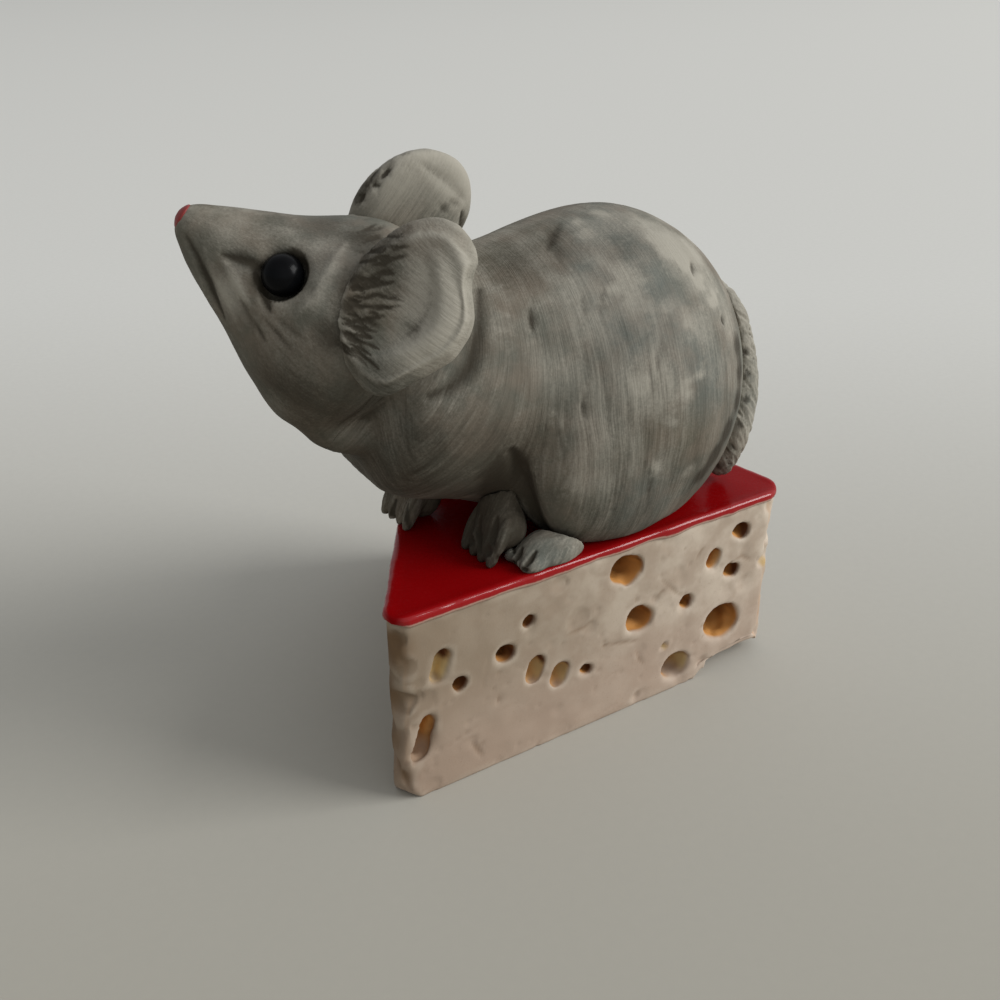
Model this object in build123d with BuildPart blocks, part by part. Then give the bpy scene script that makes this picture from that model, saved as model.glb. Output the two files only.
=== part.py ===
"""Hand-modelled mouse figurine sitting on a wedge of holed cheese.

The cheese is a sector cut from a round wheel, with a red wax rind on top only.
The mouse faces -X with its left side towards -Y, next to the cut face of the
wedge that runs along X. The origin is on the flat underside of the cheese, on
the line that halves the wedge. Millimetres, +Z up.
"""

import os
from math import atan, cos, degrees, radians, sin, sqrt

from build123d import *

os.makedirs("parts", exist_ok=True)

# Sizes of the cheese: a sector of a low wheel
wheel_radius = 50.8
wedge_angle = 56.5
cheese_height = 20.6
apex_back_share = 0.56  # the origin lies this share of the radius from the apex
nose_blunting = 1.6  # rounding of the sharp edge of the wedge
rim_corner_radius = 3.0  # rounding where a cut face meets the wheel's rim
hole_size = 2.3  # half height of a hole whose share is 1
hole_floor_share = 0.55  # a hole's floor, of its mouth
hole_lean = 18.0  # the oval holes lean over to the right

# What is broken off the cheese: the foot of its sharp edge, and a thin flake
# under the wide end of the front face
nose_break_depth = 2.9
nose_break_height = 5.0
heel_break_length = 9.8
heel_break_height = 1.1
heel_break_depth = 3.4

# Wax rind on the top
wax_thickness = 0.9
wax_lip = 0.3  # the rind stands out over the cut faces by this much
wax_edge_radius = 0.4

# Body of the mouse, an egg that sits on its haunches
body_from_apex = 32.2
body_from_face = 12.3  # from the front face to the middle of the body
body_half_length = 16.2
body_half_width = 15.6
body_half_height = 18.1
body_lift = 13.0  # centre of the egg above the rind

# Shoulders, chest, neck and throat: reach in front of the egg's centre or
# place at the skull, half sizes, and lift of each section above the rind
shoulder_reach = 13.6
shoulder_half_width = 11.8
shoulder_half_height = 13.5
shoulder_lift = 15.2
chest_reach = 20.0
chest_half_width = 11.2
chest_half_height = 12.0
chest_lift = 16.4
neck_behind_skull = 1.6  # the neck section, behind the skull's centre
neck_half_width = 9.3
neck_half_height = 11.1
neck_lift = 18.1
throat_past_skull = 2.8  # the throat's end, in front of it
throat_half_width = 5.9
throat_half_height = 7.0
throat_lift = 21.4

# Hollow in the flank between the chest and each haunch
flank_hollow_length = 7.0
flank_hollow_width = 9.0
flank_hollow_height = 13.0
flank_hollow_ahead = 13.2
flank_hollow_side = 9.6
flank_hollow_lift = 1.5

# Head
head_length = 23.0
head_radius = 9.9
head_turn = 28.0  # to the mouse's own right
head_pitch = 36.5  # nose up
head_roll = 6.0  # left side down
head_reach = 27.8  # centre of the skull in front of the egg's centre
head_side = 1.8  # and to the mouse's right
head_lift = 24.0  # and above the rind
skull_from_nose = 16.2

# Painted nose tip
nose_radius = 1.35
nose_thickness = 0.5
nose_round_share = 0.8

# Bead eyes and the sockets they are pressed into
eye_diameter = 4.0
eye_side_angle = 31.0  # above the side of the head
eye_from_nose = 9.5
eye_tilt = 24.0  # the skin there faces forwards by this much
eye_sink = 0.9  # centre of the bead below the skin
eye_skin_share = 0.67  # radius of the head at the eyes, of the skull's
eye_drop_share = 0.05  # drop of the head's middle there, of the skull's radius
socket_width = 0.4
socket_depth = 0.8

# Ears: thick oval pads, each scooped out at its front. The right one is set
# higher on the skull and further ahead than the left one.
ear_half_width = 5.3
ear_half_thickness = 2.3
ear_out_share = 0.88  # a pad faces mostly sideways
ear_forward_share = 0.35  # and a little forwards
left_ear_half_height = 7.3
left_ear_side = 8.7
left_ear_up = 7.1
left_ear_back = 3.6
left_ear_upward_share = 0.30
right_ear_half_height = 6.7
right_ear_side = 8.6
right_ear_up = 9.4
right_ear_back = 1.3
right_ear_upward_share = 0.0
scoop_half_height = 5.4
scoop_half_width = 3.3
scoop_half_thickness = 1.8
scoop_ahead = 1.9
scoop_out = 2.6

# Haunches
haunch_half_length = 12.0
haunch_half_width = 7.4
haunch_half_height = 11.4
haunch_ahead = 3.2
haunch_side = 7.6
haunch_lift = 9.6

# Hind feet
hind_foot_length = 9.0
hind_foot_width = 4.6
hind_foot_height = 4.4
hind_foot_ahead = 11.6
hind_foot_side = 10.4
sole_rise_share = 0.2  # centre of the foot above the rind, of its height
hind_toe_length = 4.2
hind_toe_width = 1.8
hind_toe_ahead_share = 0.36  # toes in front of the foot's middle, of its length
toe_rise_share = 0.7  # middle of a toe above the rind, of half its width

# Front paws: the arm, the palm and its toes, then where each paw stands
arm_radius = 2.7
wrist_radius = 2.2
arm_top_lift = 9.0  # where the arm comes out of the chest
arm_top_ahead = 14.0
arm_top_side = 4.4
palm_length = 4.8
palm_margin = 1.1  # the palm is wider than its row of toes by this much
palm_height = 5.8
palm_lift = 2.9
toe_count = 4
toe_length = 5.6
toe_width = 1.6
toe_pitch = 1.5  # from one toe to the next
toe_drop = 64.0  # the toes point down at this angle
toe_ahead = 1.9  # middle of a toe from the middle of the palm
toe_below = 0.7
left_paw_ahead = 15.8
left_paw_side = 6.8
right_paw_ahead = 18.8
right_paw_side = 4.4

# Tail
tail_thickness = 4.0
tail_tip_thickness = 2.6
tail_tip_reach = 15.4  # from the egg's middle to the tip on the rind
tail_tip_heading = -22.0

overrun = 5.0  # a cut runs past the piece it cuts by this much

# Holes in the front face: along and up as shares of the wheel's radius and
# the cheese's height, then half width, half height and depth as shares of the
# hole size
hole_shares = [
    (0.558, 0.870, 0.96, 0.72, 1.6),
    (0.842, 0.321, 1.20, 0.97, 2.0),
    (0.600, 0.549, 0.88, 0.70, 1.3),
    (0.713, 0.145, 0.88, 0.79, 1.5),
    (0.396, 0.399, 0.46, 0.66, 0.9),
    (0.335, 0.487, 0.44, 0.70, 0.9),
    (0.263, 0.648, 0.52, 0.44, 1.3),
    (0.317, 0.782, 0.32, 0.31, 1.0),
    (0.462, 0.363, 0.38, 0.28, 1.0),
    (0.156, 0.575, 0.42, 0.41, 1.3),
    (0.731, 0.539, 0.46, 0.40, 1.4),
    (0.877, 0.860, 0.56, 0.40, 1.3),
    (0.858, 0.632, 0.53, 0.38, 1.3),
    (0.802, 0.746, 0.40, 0.54, 1.0),
    (0.115, 0.715, 0.48, 0.86, 0.7),
    (0.075, 0.352, 0.36, 1.16, 0.9),
]
# Holes in the other cut face, which runs back from the apex
second_hole_shares = [
    (-0.20, 0.62, 0.50, 0.44, 1.1),
    (-0.31, 0.30, 0.90, 0.74, 1.4),
    (-0.42, 0.74, 0.46, 0.52, 1.0),
    (-0.53, 0.46, 1.10, 0.90, 1.7),
    (-0.62, 0.80, 0.62, 0.46, 1.2),
    (-0.70, 0.22, 0.60, 0.66, 1.1),
    (-0.80, 0.58, 0.84, 0.74, 1.4),
    (-0.89, 0.33, 0.44, 0.40, 0.9),
]
# Sections of the egg along X, of its half length
egg_shares = [0.985, 0.93, 0.8, 0.55, 0.2, -0.2]
# Sections of the head: distance behind the nose as a share of its length, then
# half size and drop of the middle as shares of the skull's radius
head_shares = [
    (0.000, 0.135, 0.000),
    (0.050, 0.210, 0.020),
    (0.140, 0.350, 0.040),
    (0.280, 0.520, 0.050),
    (0.420, 0.700, 0.050),
    (0.560, 0.900, 0.030),
    (0.720, 1.000, 0.000),
    (0.860, 0.940, 0.000),
    (0.960, 0.640, 0.000),
    (1.000, 0.300, 0.000),
]
# Places of the three hind toes across the foot, of its width
hind_toe_shares = [-0.3, 0.0, 0.3]
# Route of the tail down the rump: heading round the egg and height angle, then
# how far it stands off the skin as a share of its thickness
tail_route_shares = [
    (-17.0, 33.0, -0.30),
    (-22.0, 18.0, -0.02),
    (-26.0, 0.0, 0.06),
    (-28.0, -18.0, 0.30),
    (-27.0, -34.0, 0.55),
]
# Thickness along the tail: place on it and share of the full thickness
tail_shares = [
    (0.0, 0.5),
    (0.12, 0.85),
    (0.35, 1.0),
    (0.6, 1.0),
    (0.82, 0.85),
    (0.94, 0.65),
    (1.0, 0.3),
]

# Places and directions that follow from the sizes
half_angle = radians(wedge_angle / 2)
neck_reach = head_reach - neck_behind_skull
throat_reach = head_reach + throat_past_skull
palm_width = toe_pitch * (toe_count - 1) + palm_margin
apex_x = -apex_back_share * wheel_radius * cos(half_angle)
apex_y = -apex_back_share * wheel_radius * sin(half_angle)
rind_top = cheese_height + wax_thickness
body_x = apex_x + body_from_apex
body_y = apex_y + body_from_face
body_z = rind_top + body_lift
up_way = Vector(0, 0, 1)
middle_way = Vector(cos(half_angle), sin(half_angle), 0)
second_way = Vector(cos(radians(wedge_angle)), sin(radians(wedge_angle)), 0)
front_face = Plane(origin=(apex_x, apex_y, 0), x_dir=(1, 0, 0), z_dir=(0, -1, 0))
second_face = Plane(
    origin=(apex_x, apex_y, 0), x_dir=-second_way, z_dir=up_way.cross(second_way)
)
middle_plane = Plane(
    origin=(apex_x, apex_y, 0), x_dir=middle_way, z_dir=middle_way.cross(up_way)
)
rind_plane = Plane.XY.offset(rind_top)


def ellipsoid(half_x, half_y, half_z):
    """A ball drawn out to three half sizes, centred on its own origin."""
    ball = Sphere(1, mode=Mode.PRIVATE)
    return scale(ball, by=(half_x, half_y, half_z), mode=Mode.PRIVATE)


# The cheese


def wedge_sketch(grow):
    """Plan of the wedge, grown outwards by `grow` on its three sides."""
    with BuildSketch() as plan:
        with BuildLine():
            start = (apex_x, apex_y)
            front = Line(start, (apex_x + wheel_radius, apex_y))
            back = PolarLine(start, wheel_radius, wedge_angle)
            ThreePointArc(
                front @ 1,
                (
                    apex_x + wheel_radius * cos(half_angle),
                    apex_y + wheel_radius * sin(half_angle),
                ),
                back @ 1,
            )
        make_face()
        corners = plan.vertices().sort_by_distance((apex_x, apex_y, 0))
        fillet(corners[0], nose_blunting)
        rim = plan.vertices().sort_by_distance((apex_x, apex_y, 0))[-2:]
        fillet(rim, rim_corner_radius)
        if grow:
            offset(amount=grow, kind=Kind.ARC)
    return plan.sketch


def cheese_holes(face_plane, shares):
    """Oval pits sunk into a cut face, each narrowing to its floor."""
    with BuildPart() as pits:
        for along, up, wide, high, deep in shares:
            longer = max(wide, high) * hole_size * 2
            shorter = min(wide, high) * hole_size * 2
            depth = deep * hole_size
            upright = 90 if high > wide else 0
            narrowing = degrees(atan(shorter / 2 * (1 - hole_floor_share) / depth))
            spot = face_plane.from_local_coords(
                (along * wheel_radius, up * cheese_height, 0)
            )
            mouth = Plane(origin=spot, x_dir=face_plane.x_dir, z_dir=-face_plane.z_dir)
            with BuildSketch(mouth):
                SlotOverall(longer, shorter, rotation=upright + hole_lean)
            extrude(amount=depth, taper=narrowing)
    return pits.part


# the foot of the sharp edge is broken away on a slant
with BuildPart() as nose_breaker:
    with BuildSketch(middle_plane):
        with BuildLine():
            Polyline(
                (-overrun, -overrun),
                (nose_break_depth, 0),
                (0, nose_break_height),
                (-overrun, nose_break_height + overrun),
                close=True,
            )
        make_face()
    extrude(amount=wheel_radius, both=True)

# a thin flake is gone from the underside at the wide end of the front face
with BuildPart() as heel_breaker:
    with BuildSketch(front_face.offset(overrun)):
        with Locations((wheel_radius, 0)):
            Rectangle(heel_break_length * 2, heel_break_height * 2)
    extrude(amount=-overrun - heel_break_depth)

with BuildPart() as cheese_wedge:
    add(wedge_sketch(0))
    extrude(amount=cheese_height)
    add(cheese_holes(front_face, hole_shares), mode=Mode.SUBTRACT)
    add(cheese_holes(second_face, second_hole_shares), mode=Mode.SUBTRACT)
    add(nose_breaker.part, mode=Mode.SUBTRACT)
    add(heel_breaker.part, mode=Mode.SUBTRACT)
cheese_wedge.part.label = "cheese_wedge"

# the rind follows the wedge's plan, a little larger, with a rounded top edge
with BuildPart() as wax_rind:
    with BuildSketch(Plane.XY.offset(cheese_height)):
        add(wedge_sketch(wax_lip))
    extrude(amount=wax_thickness)
    fillet(wax_rind.faces().sort_by(Axis.Z)[-1].edges(), wax_edge_radius)
wax_rind.part.label = "wax_rind"

# The torso: upright ovals from the rump to the throat, joined in one smooth
# form, flat where it is pressed on the rind


def upright_oval(x, y, z, half_width, half_height):
    """One cross-section of the torso, square to X."""
    with BuildSketch(Plane(origin=(x, y, z), x_dir=(0, 1, 0), z_dir=(1, 0, 0))) as cut:
        Ellipse(half_width, half_height)
    return cut.sketch


front_sections = [
    (shoulder_reach, shoulder_half_width, shoulder_half_height, shoulder_lift),
    (chest_reach, chest_half_width, chest_half_height, chest_lift),
    (neck_reach, neck_half_width, neck_half_height, neck_lift),
    (throat_reach, throat_half_width, throat_half_height, throat_lift),
]
flank_lump = ellipsoid(
    flank_hollow_length / 2, flank_hollow_width / 2, flank_hollow_height / 2
)
flank_x = body_x - flank_hollow_ahead
flank_z = rind_top + flank_hollow_lift
with BuildPart() as torso:
    for share in egg_shares:
        round_share = sqrt(1 - share * share)
        add(
            upright_oval(
                body_x + share * body_half_length,
                body_y,
                body_z,
                body_half_width * round_share,
                body_half_height * round_share,
            )
        )
    for reach, half_width, half_height, lift in front_sections:
        aside = head_side * reach / head_reach
        add(
            upright_oval(
                body_x - reach, body_y + aside, rind_top + lift, half_width, half_height
            )
        )
    loft()
    split(bisect_by=rind_plane, keep=Keep.TOP)
    with Locations(
        (flank_x, body_y - flank_hollow_side, flank_z),
        (flank_x, body_y + flank_hollow_side, flank_z),
    ):
        add(flank_lump, mode=Mode.SUBTRACT)
torso.part.label = "torso"

# The head: a cone of round sections from the nose to the back of the skull,
# turned, lifted and rolled on the neck
turn = radians(head_turn)
pitch = radians(head_pitch)
roll = radians(head_roll)
skull = Vector(body_x - head_reach, body_y + head_side, rind_top + head_lift)
nose_way = Vector(-cos(pitch) * cos(turn), cos(pitch) * sin(turn), sin(pitch))
level_way = Vector(-sin(turn), -cos(turn), 0)
left_way = level_way * cos(roll) - nose_way.cross(level_way) * sin(roll)
crown_way = nose_way.cross(left_way)
head_plane = Plane(
    origin=skull + nose_way * skull_from_nose, x_dir=left_way, z_dir=nose_way
)
eye_radius = eye_diameter / 2


def eye_spot(side):
    """Centre of a bead eye, sunk below the skin; side is 1 left, -1 right."""
    rise = radians(eye_side_angle)
    out = eye_skin_share * head_radius - eye_sink
    drop = eye_drop_share * head_radius
    return head_plane.from_local_coords(
        (side * cos(rise) * out, sin(rise) * out - drop, -eye_from_nose)
    )


def bead(side):
    """Round bead eye."""
    spot = Plane(origin=eye_spot(side), x_dir=left_way, z_dir=nose_way)
    with BuildPart(spot) as ball:
        Sphere(eye_radius)
    return ball.part


def socket(side):
    """The hollow that a bead is pressed into, with a ring left open round it."""
    spot = eye_spot(side)
    centre = head_plane.from_local_coords((0, 0, -eye_from_nose))
    tilt = radians(eye_tilt)
    outward = (spot - centre).normalized() * cos(tilt) + nose_way * sin(tilt)
    with BuildPart(Plane(origin=spot, x_dir=nose_way, z_dir=outward)) as hollow:
        Sphere(eye_radius)
        with Locations((0, 0, eye_sink - socket_depth)):
            Cone(
                eye_radius,
                eye_radius + socket_width * 2,
                socket_depth * 2,
                align=(Align.CENTER, Align.CENTER, Align.MIN),
            )
    return hollow.part


with BuildPart() as head:
    for behind, size, drop in head_shares:
        station = head_plane.from_local_coords(
            (0, -drop * head_radius, -behind * head_length)
        )
        with BuildSketch(Plane(origin=station, x_dir=left_way, z_dir=nose_way)):
            Circle(size * head_radius)
    loft()
    add(torso.part, mode=Mode.SUBTRACT)
    for side in (1, -1):
        add(socket(side), mode=Mode.SUBTRACT)
head.part.label = "head"

with BuildPart() as left_eye:
    add(bead(1))
left_eye.part.label = "left_eye"

with BuildPart() as right_eye:
    add(bead(-1))
right_eye.part.label = "right_eye"

# clay tip on the blunt end of the snout
with BuildPart() as nose_tip:
    with BuildSketch(head_plane):
        Circle(nose_radius)
    extrude(amount=nose_thickness)
    front_end = nose_tip.faces().sort_by(Axis(head_plane.origin, nose_way))[-1]
    fillet(front_end.edges(), nose_thickness * nose_round_share)
nose_tip.part.label = "nose_tip"

# The ears
scoop_lump = ellipsoid(scoop_half_width, scoop_half_height, scoop_half_thickness)


def ear_piece(name, side, half_height, out, up, back, upward_share):
    """Thick oval ear pad with a hollow scooped out towards the front."""
    pad_lump = ellipsoid(ear_half_width, half_height, ear_half_thickness)
    facing = (
        left_way * (side * ear_out_share)
        + nose_way * ear_forward_share
        + crown_way * upward_share
    ).normalized()
    ahead = (nose_way - facing * nose_way.dot(facing)).normalized()
    middle = skull + left_way * (side * out) + crown_way * up - nose_way * back
    hollow = middle + ahead * scoop_ahead + facing * scoop_out
    with BuildPart() as ear:
        with Locations(Plane(origin=middle, x_dir=ahead, z_dir=facing)):
            add(pad_lump)
        with Locations(Plane(origin=hollow, x_dir=ahead, z_dir=facing)):
            add(scoop_lump, mode=Mode.SUBTRACT)
        add(head.part, mode=Mode.SUBTRACT)
        add(torso.part, mode=Mode.SUBTRACT)
    ear.part.label = name
    return ear


left_ear = ear_piece(
    "left_ear",
    1,
    left_ear_half_height,
    left_ear_side,
    left_ear_up,
    left_ear_back,
    left_ear_upward_share,
)
right_ear = ear_piece(
    "right_ear",
    -1,
    right_ear_half_height,
    right_ear_side,
    right_ear_up,
    right_ear_back,
    right_ear_upward_share,
)

# The haunches and the hind feet
haunch_lump = ellipsoid(haunch_half_length, haunch_half_width, haunch_half_height)
sole_lump = ellipsoid(hind_foot_length / 2, hind_foot_width / 2, hind_foot_height / 2)
hind_toe_lump = ellipsoid(hind_toe_length / 2, hind_toe_width / 2, hind_toe_width / 2)


def haunch_piece(name, side):
    """Thigh pressed on the flank: an oval pad that swells out of the body."""
    middle = (body_x - haunch_ahead, body_y - side * haunch_side, rind_top + haunch_lift)
    with BuildPart() as haunch:
        with Locations(middle):
            add(haunch_lump)
        split(bisect_by=rind_plane, keep=Keep.TOP)
        add(torso.part, mode=Mode.SUBTRACT)
    haunch.part.label = name
    return haunch


def hind_foot_piece(name, side, haunch):
    """Long flat foot that comes out from under the haunch, with three toes."""
    foot_x = body_x - hind_foot_ahead
    foot_y = body_y - side * hind_foot_side
    toe_x = foot_x - hind_foot_length * hind_toe_ahead_share
    toe_z = rind_top + hind_toe_width / 2 * toe_rise_share
    with BuildPart() as foot:
        with Locations((foot_x, foot_y, rind_top + hind_foot_height * sole_rise_share)):
            add(sole_lump)
        for share in hind_toe_shares:
            with Locations((toe_x, foot_y + share * hind_foot_width, toe_z)):
                add(hind_toe_lump)
        split(bisect_by=rind_plane, keep=Keep.TOP)
        add(torso.part, mode=Mode.SUBTRACT)
        add(haunch.part, mode=Mode.SUBTRACT)
    foot.part.label = name
    return foot


left_haunch = haunch_piece("left_haunch", 1)
right_haunch = haunch_piece("right_haunch", -1)
left_hind_foot = hind_foot_piece("left_hind_foot", 1, left_haunch)
right_hind_foot = hind_foot_piece("right_hind_foot", -1, right_haunch)

# The front paws
palm_lump = ellipsoid(palm_length / 2, palm_width / 2, palm_height / 2)
toe_lump = ellipsoid(toe_length / 2, toe_width / 2, toe_width / 2)


def paw_piece(name, side, ahead, aside, neighbours):
    """Short arm from the chest to a round paw with toes that hang down."""
    palm = Vector(body_x - ahead, body_y - side * aside, rind_top + palm_lift)
    shoulder = Vector(
        body_x - arm_top_ahead, body_y - side * arm_top_side, rind_top + arm_top_lift
    )
    arm_way = palm - shoulder
    drop = radians(toe_drop)
    toe_way = Vector(-cos(drop), 0, -sin(drop))
    with BuildPart() as paw:
        with BuildSketch(Plane(origin=shoulder, z_dir=arm_way)):
            Circle(arm_radius)
        with BuildSketch(Plane(origin=palm, z_dir=arm_way)):
            Circle(wrist_radius)
        loft()
        with Locations(palm):
            add(palm_lump)
        for number in range(toe_count):
            across = (number - (toe_count - 1) / 2) * toe_pitch
            middle = palm + Vector(-toe_ahead, -side * across, -toe_below)
            with Locations(Plane(origin=middle, x_dir=toe_way, z_dir=(0, 1, 0))):
                add(toe_lump)
        split(bisect_by=rind_plane, keep=Keep.TOP)
        for neighbour in neighbours:
            add(neighbour.part, mode=Mode.SUBTRACT)
    paw.part.label = name
    return paw


left_front_paw = paw_piece(
    "left_front_paw",
    1,
    left_paw_ahead,
    left_paw_side,
    (torso, left_haunch, left_hind_foot),
)
right_front_paw = paw_piece(
    "right_front_paw",
    -1,
    right_paw_ahead,
    right_paw_side,
    (torso, right_haunch, right_hind_foot),
)

# The tail: a rope of clay laid down the rump, its tip on the rind
tail_points = []
for heading, climb, off_share in tail_route_shares:
    out = cos(radians(climb))
    stand = off_share * tail_thickness
    tail_points.append(
        (
            body_x + (body_half_length + stand) * out * cos(radians(heading)),
            body_y + (body_half_width + stand) * out * sin(radians(heading)),
            body_z + (body_half_height + stand) * sin(radians(climb)),
        )
    )
tail_points.append(
    (
        body_x + tail_tip_reach * cos(radians(tail_tip_heading)),
        body_y + tail_tip_reach * sin(radians(tail_tip_heading)),
        rind_top + tail_tip_thickness / 2,
    )
)
with BuildPart() as tail:
    with BuildLine() as tail_line:
        run = Spline(tail_points)
    for place, share in tail_shares:
        with BuildSketch(Plane(run ^ place)):
            Circle(tail_thickness / 2 * share)
    loft()
    split(bisect_by=rind_plane, keep=Keep.TOP)
    add(torso.part, mode=Mode.SUBTRACT)
    add(left_haunch.part, mode=Mode.SUBTRACT)
tail.part.label = "tail"

# One file for each piece
pieces = [cheese_wedge, wax_rind, torso, head, left_eye, right_eye, nose_tip]
pieces += [left_ear, right_ear, left_haunch, right_haunch]
pieces += [left_hind_foot, right_hind_foot, left_front_paw, right_front_paw, tail]
for piece in pieces:
    name = piece.part.label
    export_step(piece.part, f"parts/{name}.step")
    print(name, round(piece.part.volume), piece.part.is_valid, len(piece.part.solids()))
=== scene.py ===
# %% [markdown]
# # A hand-modelled mouse on a wedge of cheese
# The ornament is made of clay: a wedge of cheese with a glossy red wax top, and
# a fat brown-grey mouse pressed on it. The clay was scored with a tool while it
# was soft, painted, and dry-brushed with pale paint, and two glossy black beads
# were set in as eyes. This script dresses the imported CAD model: it copies the
# CAD solids, softens them as clay, scores them and paints them.
#
# Work is done in millimetres, because that is how a modeller thinks about a
# figurine of this size, and turned into metres when a mesh is written.

import bmesh
import bpy
import numpy as np
from mathutils import Matrix, Vector
from mathutils.bvhtree import BVHTree


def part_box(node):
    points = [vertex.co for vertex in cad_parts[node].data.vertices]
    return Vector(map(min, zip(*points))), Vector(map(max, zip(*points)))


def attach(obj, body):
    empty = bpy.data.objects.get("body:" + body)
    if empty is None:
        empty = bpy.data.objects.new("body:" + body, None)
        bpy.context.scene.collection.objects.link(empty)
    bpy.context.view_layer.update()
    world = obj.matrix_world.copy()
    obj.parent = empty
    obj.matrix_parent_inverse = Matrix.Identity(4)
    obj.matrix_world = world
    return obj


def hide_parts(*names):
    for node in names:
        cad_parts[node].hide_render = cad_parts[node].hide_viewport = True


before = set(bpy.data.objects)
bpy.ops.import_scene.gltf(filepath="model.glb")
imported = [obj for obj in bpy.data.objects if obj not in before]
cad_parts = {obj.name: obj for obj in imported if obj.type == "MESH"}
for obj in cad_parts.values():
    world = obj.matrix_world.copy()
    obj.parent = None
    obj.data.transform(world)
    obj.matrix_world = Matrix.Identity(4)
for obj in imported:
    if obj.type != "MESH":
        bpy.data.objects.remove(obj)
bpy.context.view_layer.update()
MM = 0.001
scene = bpy.context.scene
print("CAD nodes:", ", ".join(sorted(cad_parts)))

# %% [markdown]
# ## Clay tools
# Sculpting in code needs few tools: read a mesh's points as an array, move
# them, write them back. numpy does this for a hundred thousand points at once.
# Every tool below works on arrays of points in millimetres.

# %% Points, normals and values of a mesh
def points_of(mesh):
    flat = np.empty(len(mesh.vertices) * 3, np.float32)
    mesh.vertices.foreach_get("co", flat)
    return flat.reshape(-1, 3).astype(float) / MM


def put_points(mesh, points):
    mesh.vertices.foreach_set("co", (points * MM).astype(np.float32).ravel())
    mesh.update()


def normals_of(mesh):
    flat = np.empty(len(mesh.vertices) * 3, np.float32)
    mesh.vertex_normals.foreach_get("vector", flat)
    return flat.reshape(-1, 3).astype(float)


def store(mesh, name, values, kind="FLOAT"):
    """Keep one number or one vector for each point, for nodes to read."""
    if name in mesh.attributes:
        mesh.attributes.remove(mesh.attributes[name])
    layer = mesh.attributes.new(name, kind, "POINT")
    key = "value" if kind == "FLOAT" else "vector"
    layer.data.foreach_set(key, np.asarray(values, np.float32).ravel())


def store_all(mesh, **layers):
    """Keep several numbers for each point, each under its own name."""
    for name, values in layers.items():
        store(mesh, name, values)


def store_masks(mesh, **masks):
    """Keep paint masks, cut to the range from 0, no paint, to 1, full paint."""
    for name, values in masks.items():
        store(mesh, name, np.clip(values, 0, 1))


def values_of(mesh, name):
    flat = np.empty(len(mesh.vertices), np.float32)
    mesh.attributes[name].data.foreach_get("value", flat)
    return flat.astype(float)


# %% Copy, remesh and refine
def new_object(name, mesh):
    obj = bpy.data.objects.new(name, mesh)
    scene.collection.objects.link(obj)
    return obj


WELD = 0.002  # points closer than this, in mm, become one


def clay_copy(name, *nodes):
    """One welded copy of some CAD nodes. The nodes themselves stay as they are."""
    bm = bmesh.new()
    for node in nodes:
        bm.from_mesh(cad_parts[node].data)
    bmesh.ops.remove_doubles(bm, verts=bm.verts, dist=WELD * MM)
    mesh = bpy.data.meshes.new(name)
    bm.to_mesh(mesh)
    bm.free()
    return new_object(name, mesh)


def apply_modifiers(obj):
    """Swap an object's mesh for what its modifiers make, then drop them."""
    ready = obj.evaluated_get(bpy.context.evaluated_depsgraph_get())
    mesh = bpy.data.meshes.new_from_object(ready)
    obj.modifiers.clear()
    obj.data = mesh
    mesh.name = obj.name
    return obj


def remesh(obj, voxel):
    """Even skin of small squares over everything that the object holds."""
    tool = obj.modifiers.new("even_skin", "REMESH")
    tool.mode = "VOXEL"
    tool.voxel_size = voxel * MM
    return apply_modifiers(obj)


def refine(obj):
    """Halve every square once, on a smooth surface."""
    tool = obj.modifiers.new("finer", "SUBSURF")
    tool.levels = tool.render_levels = 1
    return apply_modifiers(obj)


# %% [markdown]
# A wet finger on clay moves each spot towards the middle of its neighbours.
# Where that finger passes often, creases close. The difference between a spot
# and the smoothed surface also tells bumps from hollows, which later decides
# where pale paint catches and where dark paint stays.

# %% Wet finger, and bumps against hollows
WIPE = 0.5  # how far one wipe takes a spot towards the middle of its neighbours


def edges_of(mesh):
    flat = np.empty(len(mesh.edges) * 2, np.int32)
    mesh.edges.foreach_get("vertices", flat)
    return flat.reshape(-1, 2)


def smoothed(mesh, values, times):
    """Values or points of a mesh, averaged over neighbours again and again."""
    ends = edges_of(mesh)
    size = len(mesh.vertices)
    count = np.bincount(ends.ravel(), minlength=size).clip(1)
    out = np.array(values, float).reshape(size, -1)
    for _ in range(times):
        for k in range(out.shape[1]):
            near = np.bincount(ends[:, 0], out[ends[:, 1], k], size)
            near += np.bincount(ends[:, 1], out[ends[:, 0], k], size)
            out[:, k] += (near / count - out[:, k]) * WIPE
    return out.reshape(np.shape(values))


def soften(mesh, times):
    put_points(mesh, smoothed(mesh, points_of(mesh), times))


def relief(mesh, times):
    """How far each point stands above (+) or below (-) the smoothed clay, mm."""
    points = points_of(mesh)
    flat = smoothed(mesh, points, times)
    return ((points - flat) * normals_of(mesh)).sum(1)


def ramp(x, low, high):
    """0 at low, 1 at high, a smooth step between; low may be the larger."""
    t = ((np.asarray(x, float) - low) / (high - low)).clip(0, 1)
    return t * t * (3 - 2 * t)


# %% [markdown]
# Clay is never smooth. A seeded value noise gives lumps of any size: random
# numbers on a grid, blended smoothly between the grid's corners.

# %% Lumps
PRIMES = (73856093, 19349663, 83492791)  # they scramble the place of a grid corner


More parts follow.
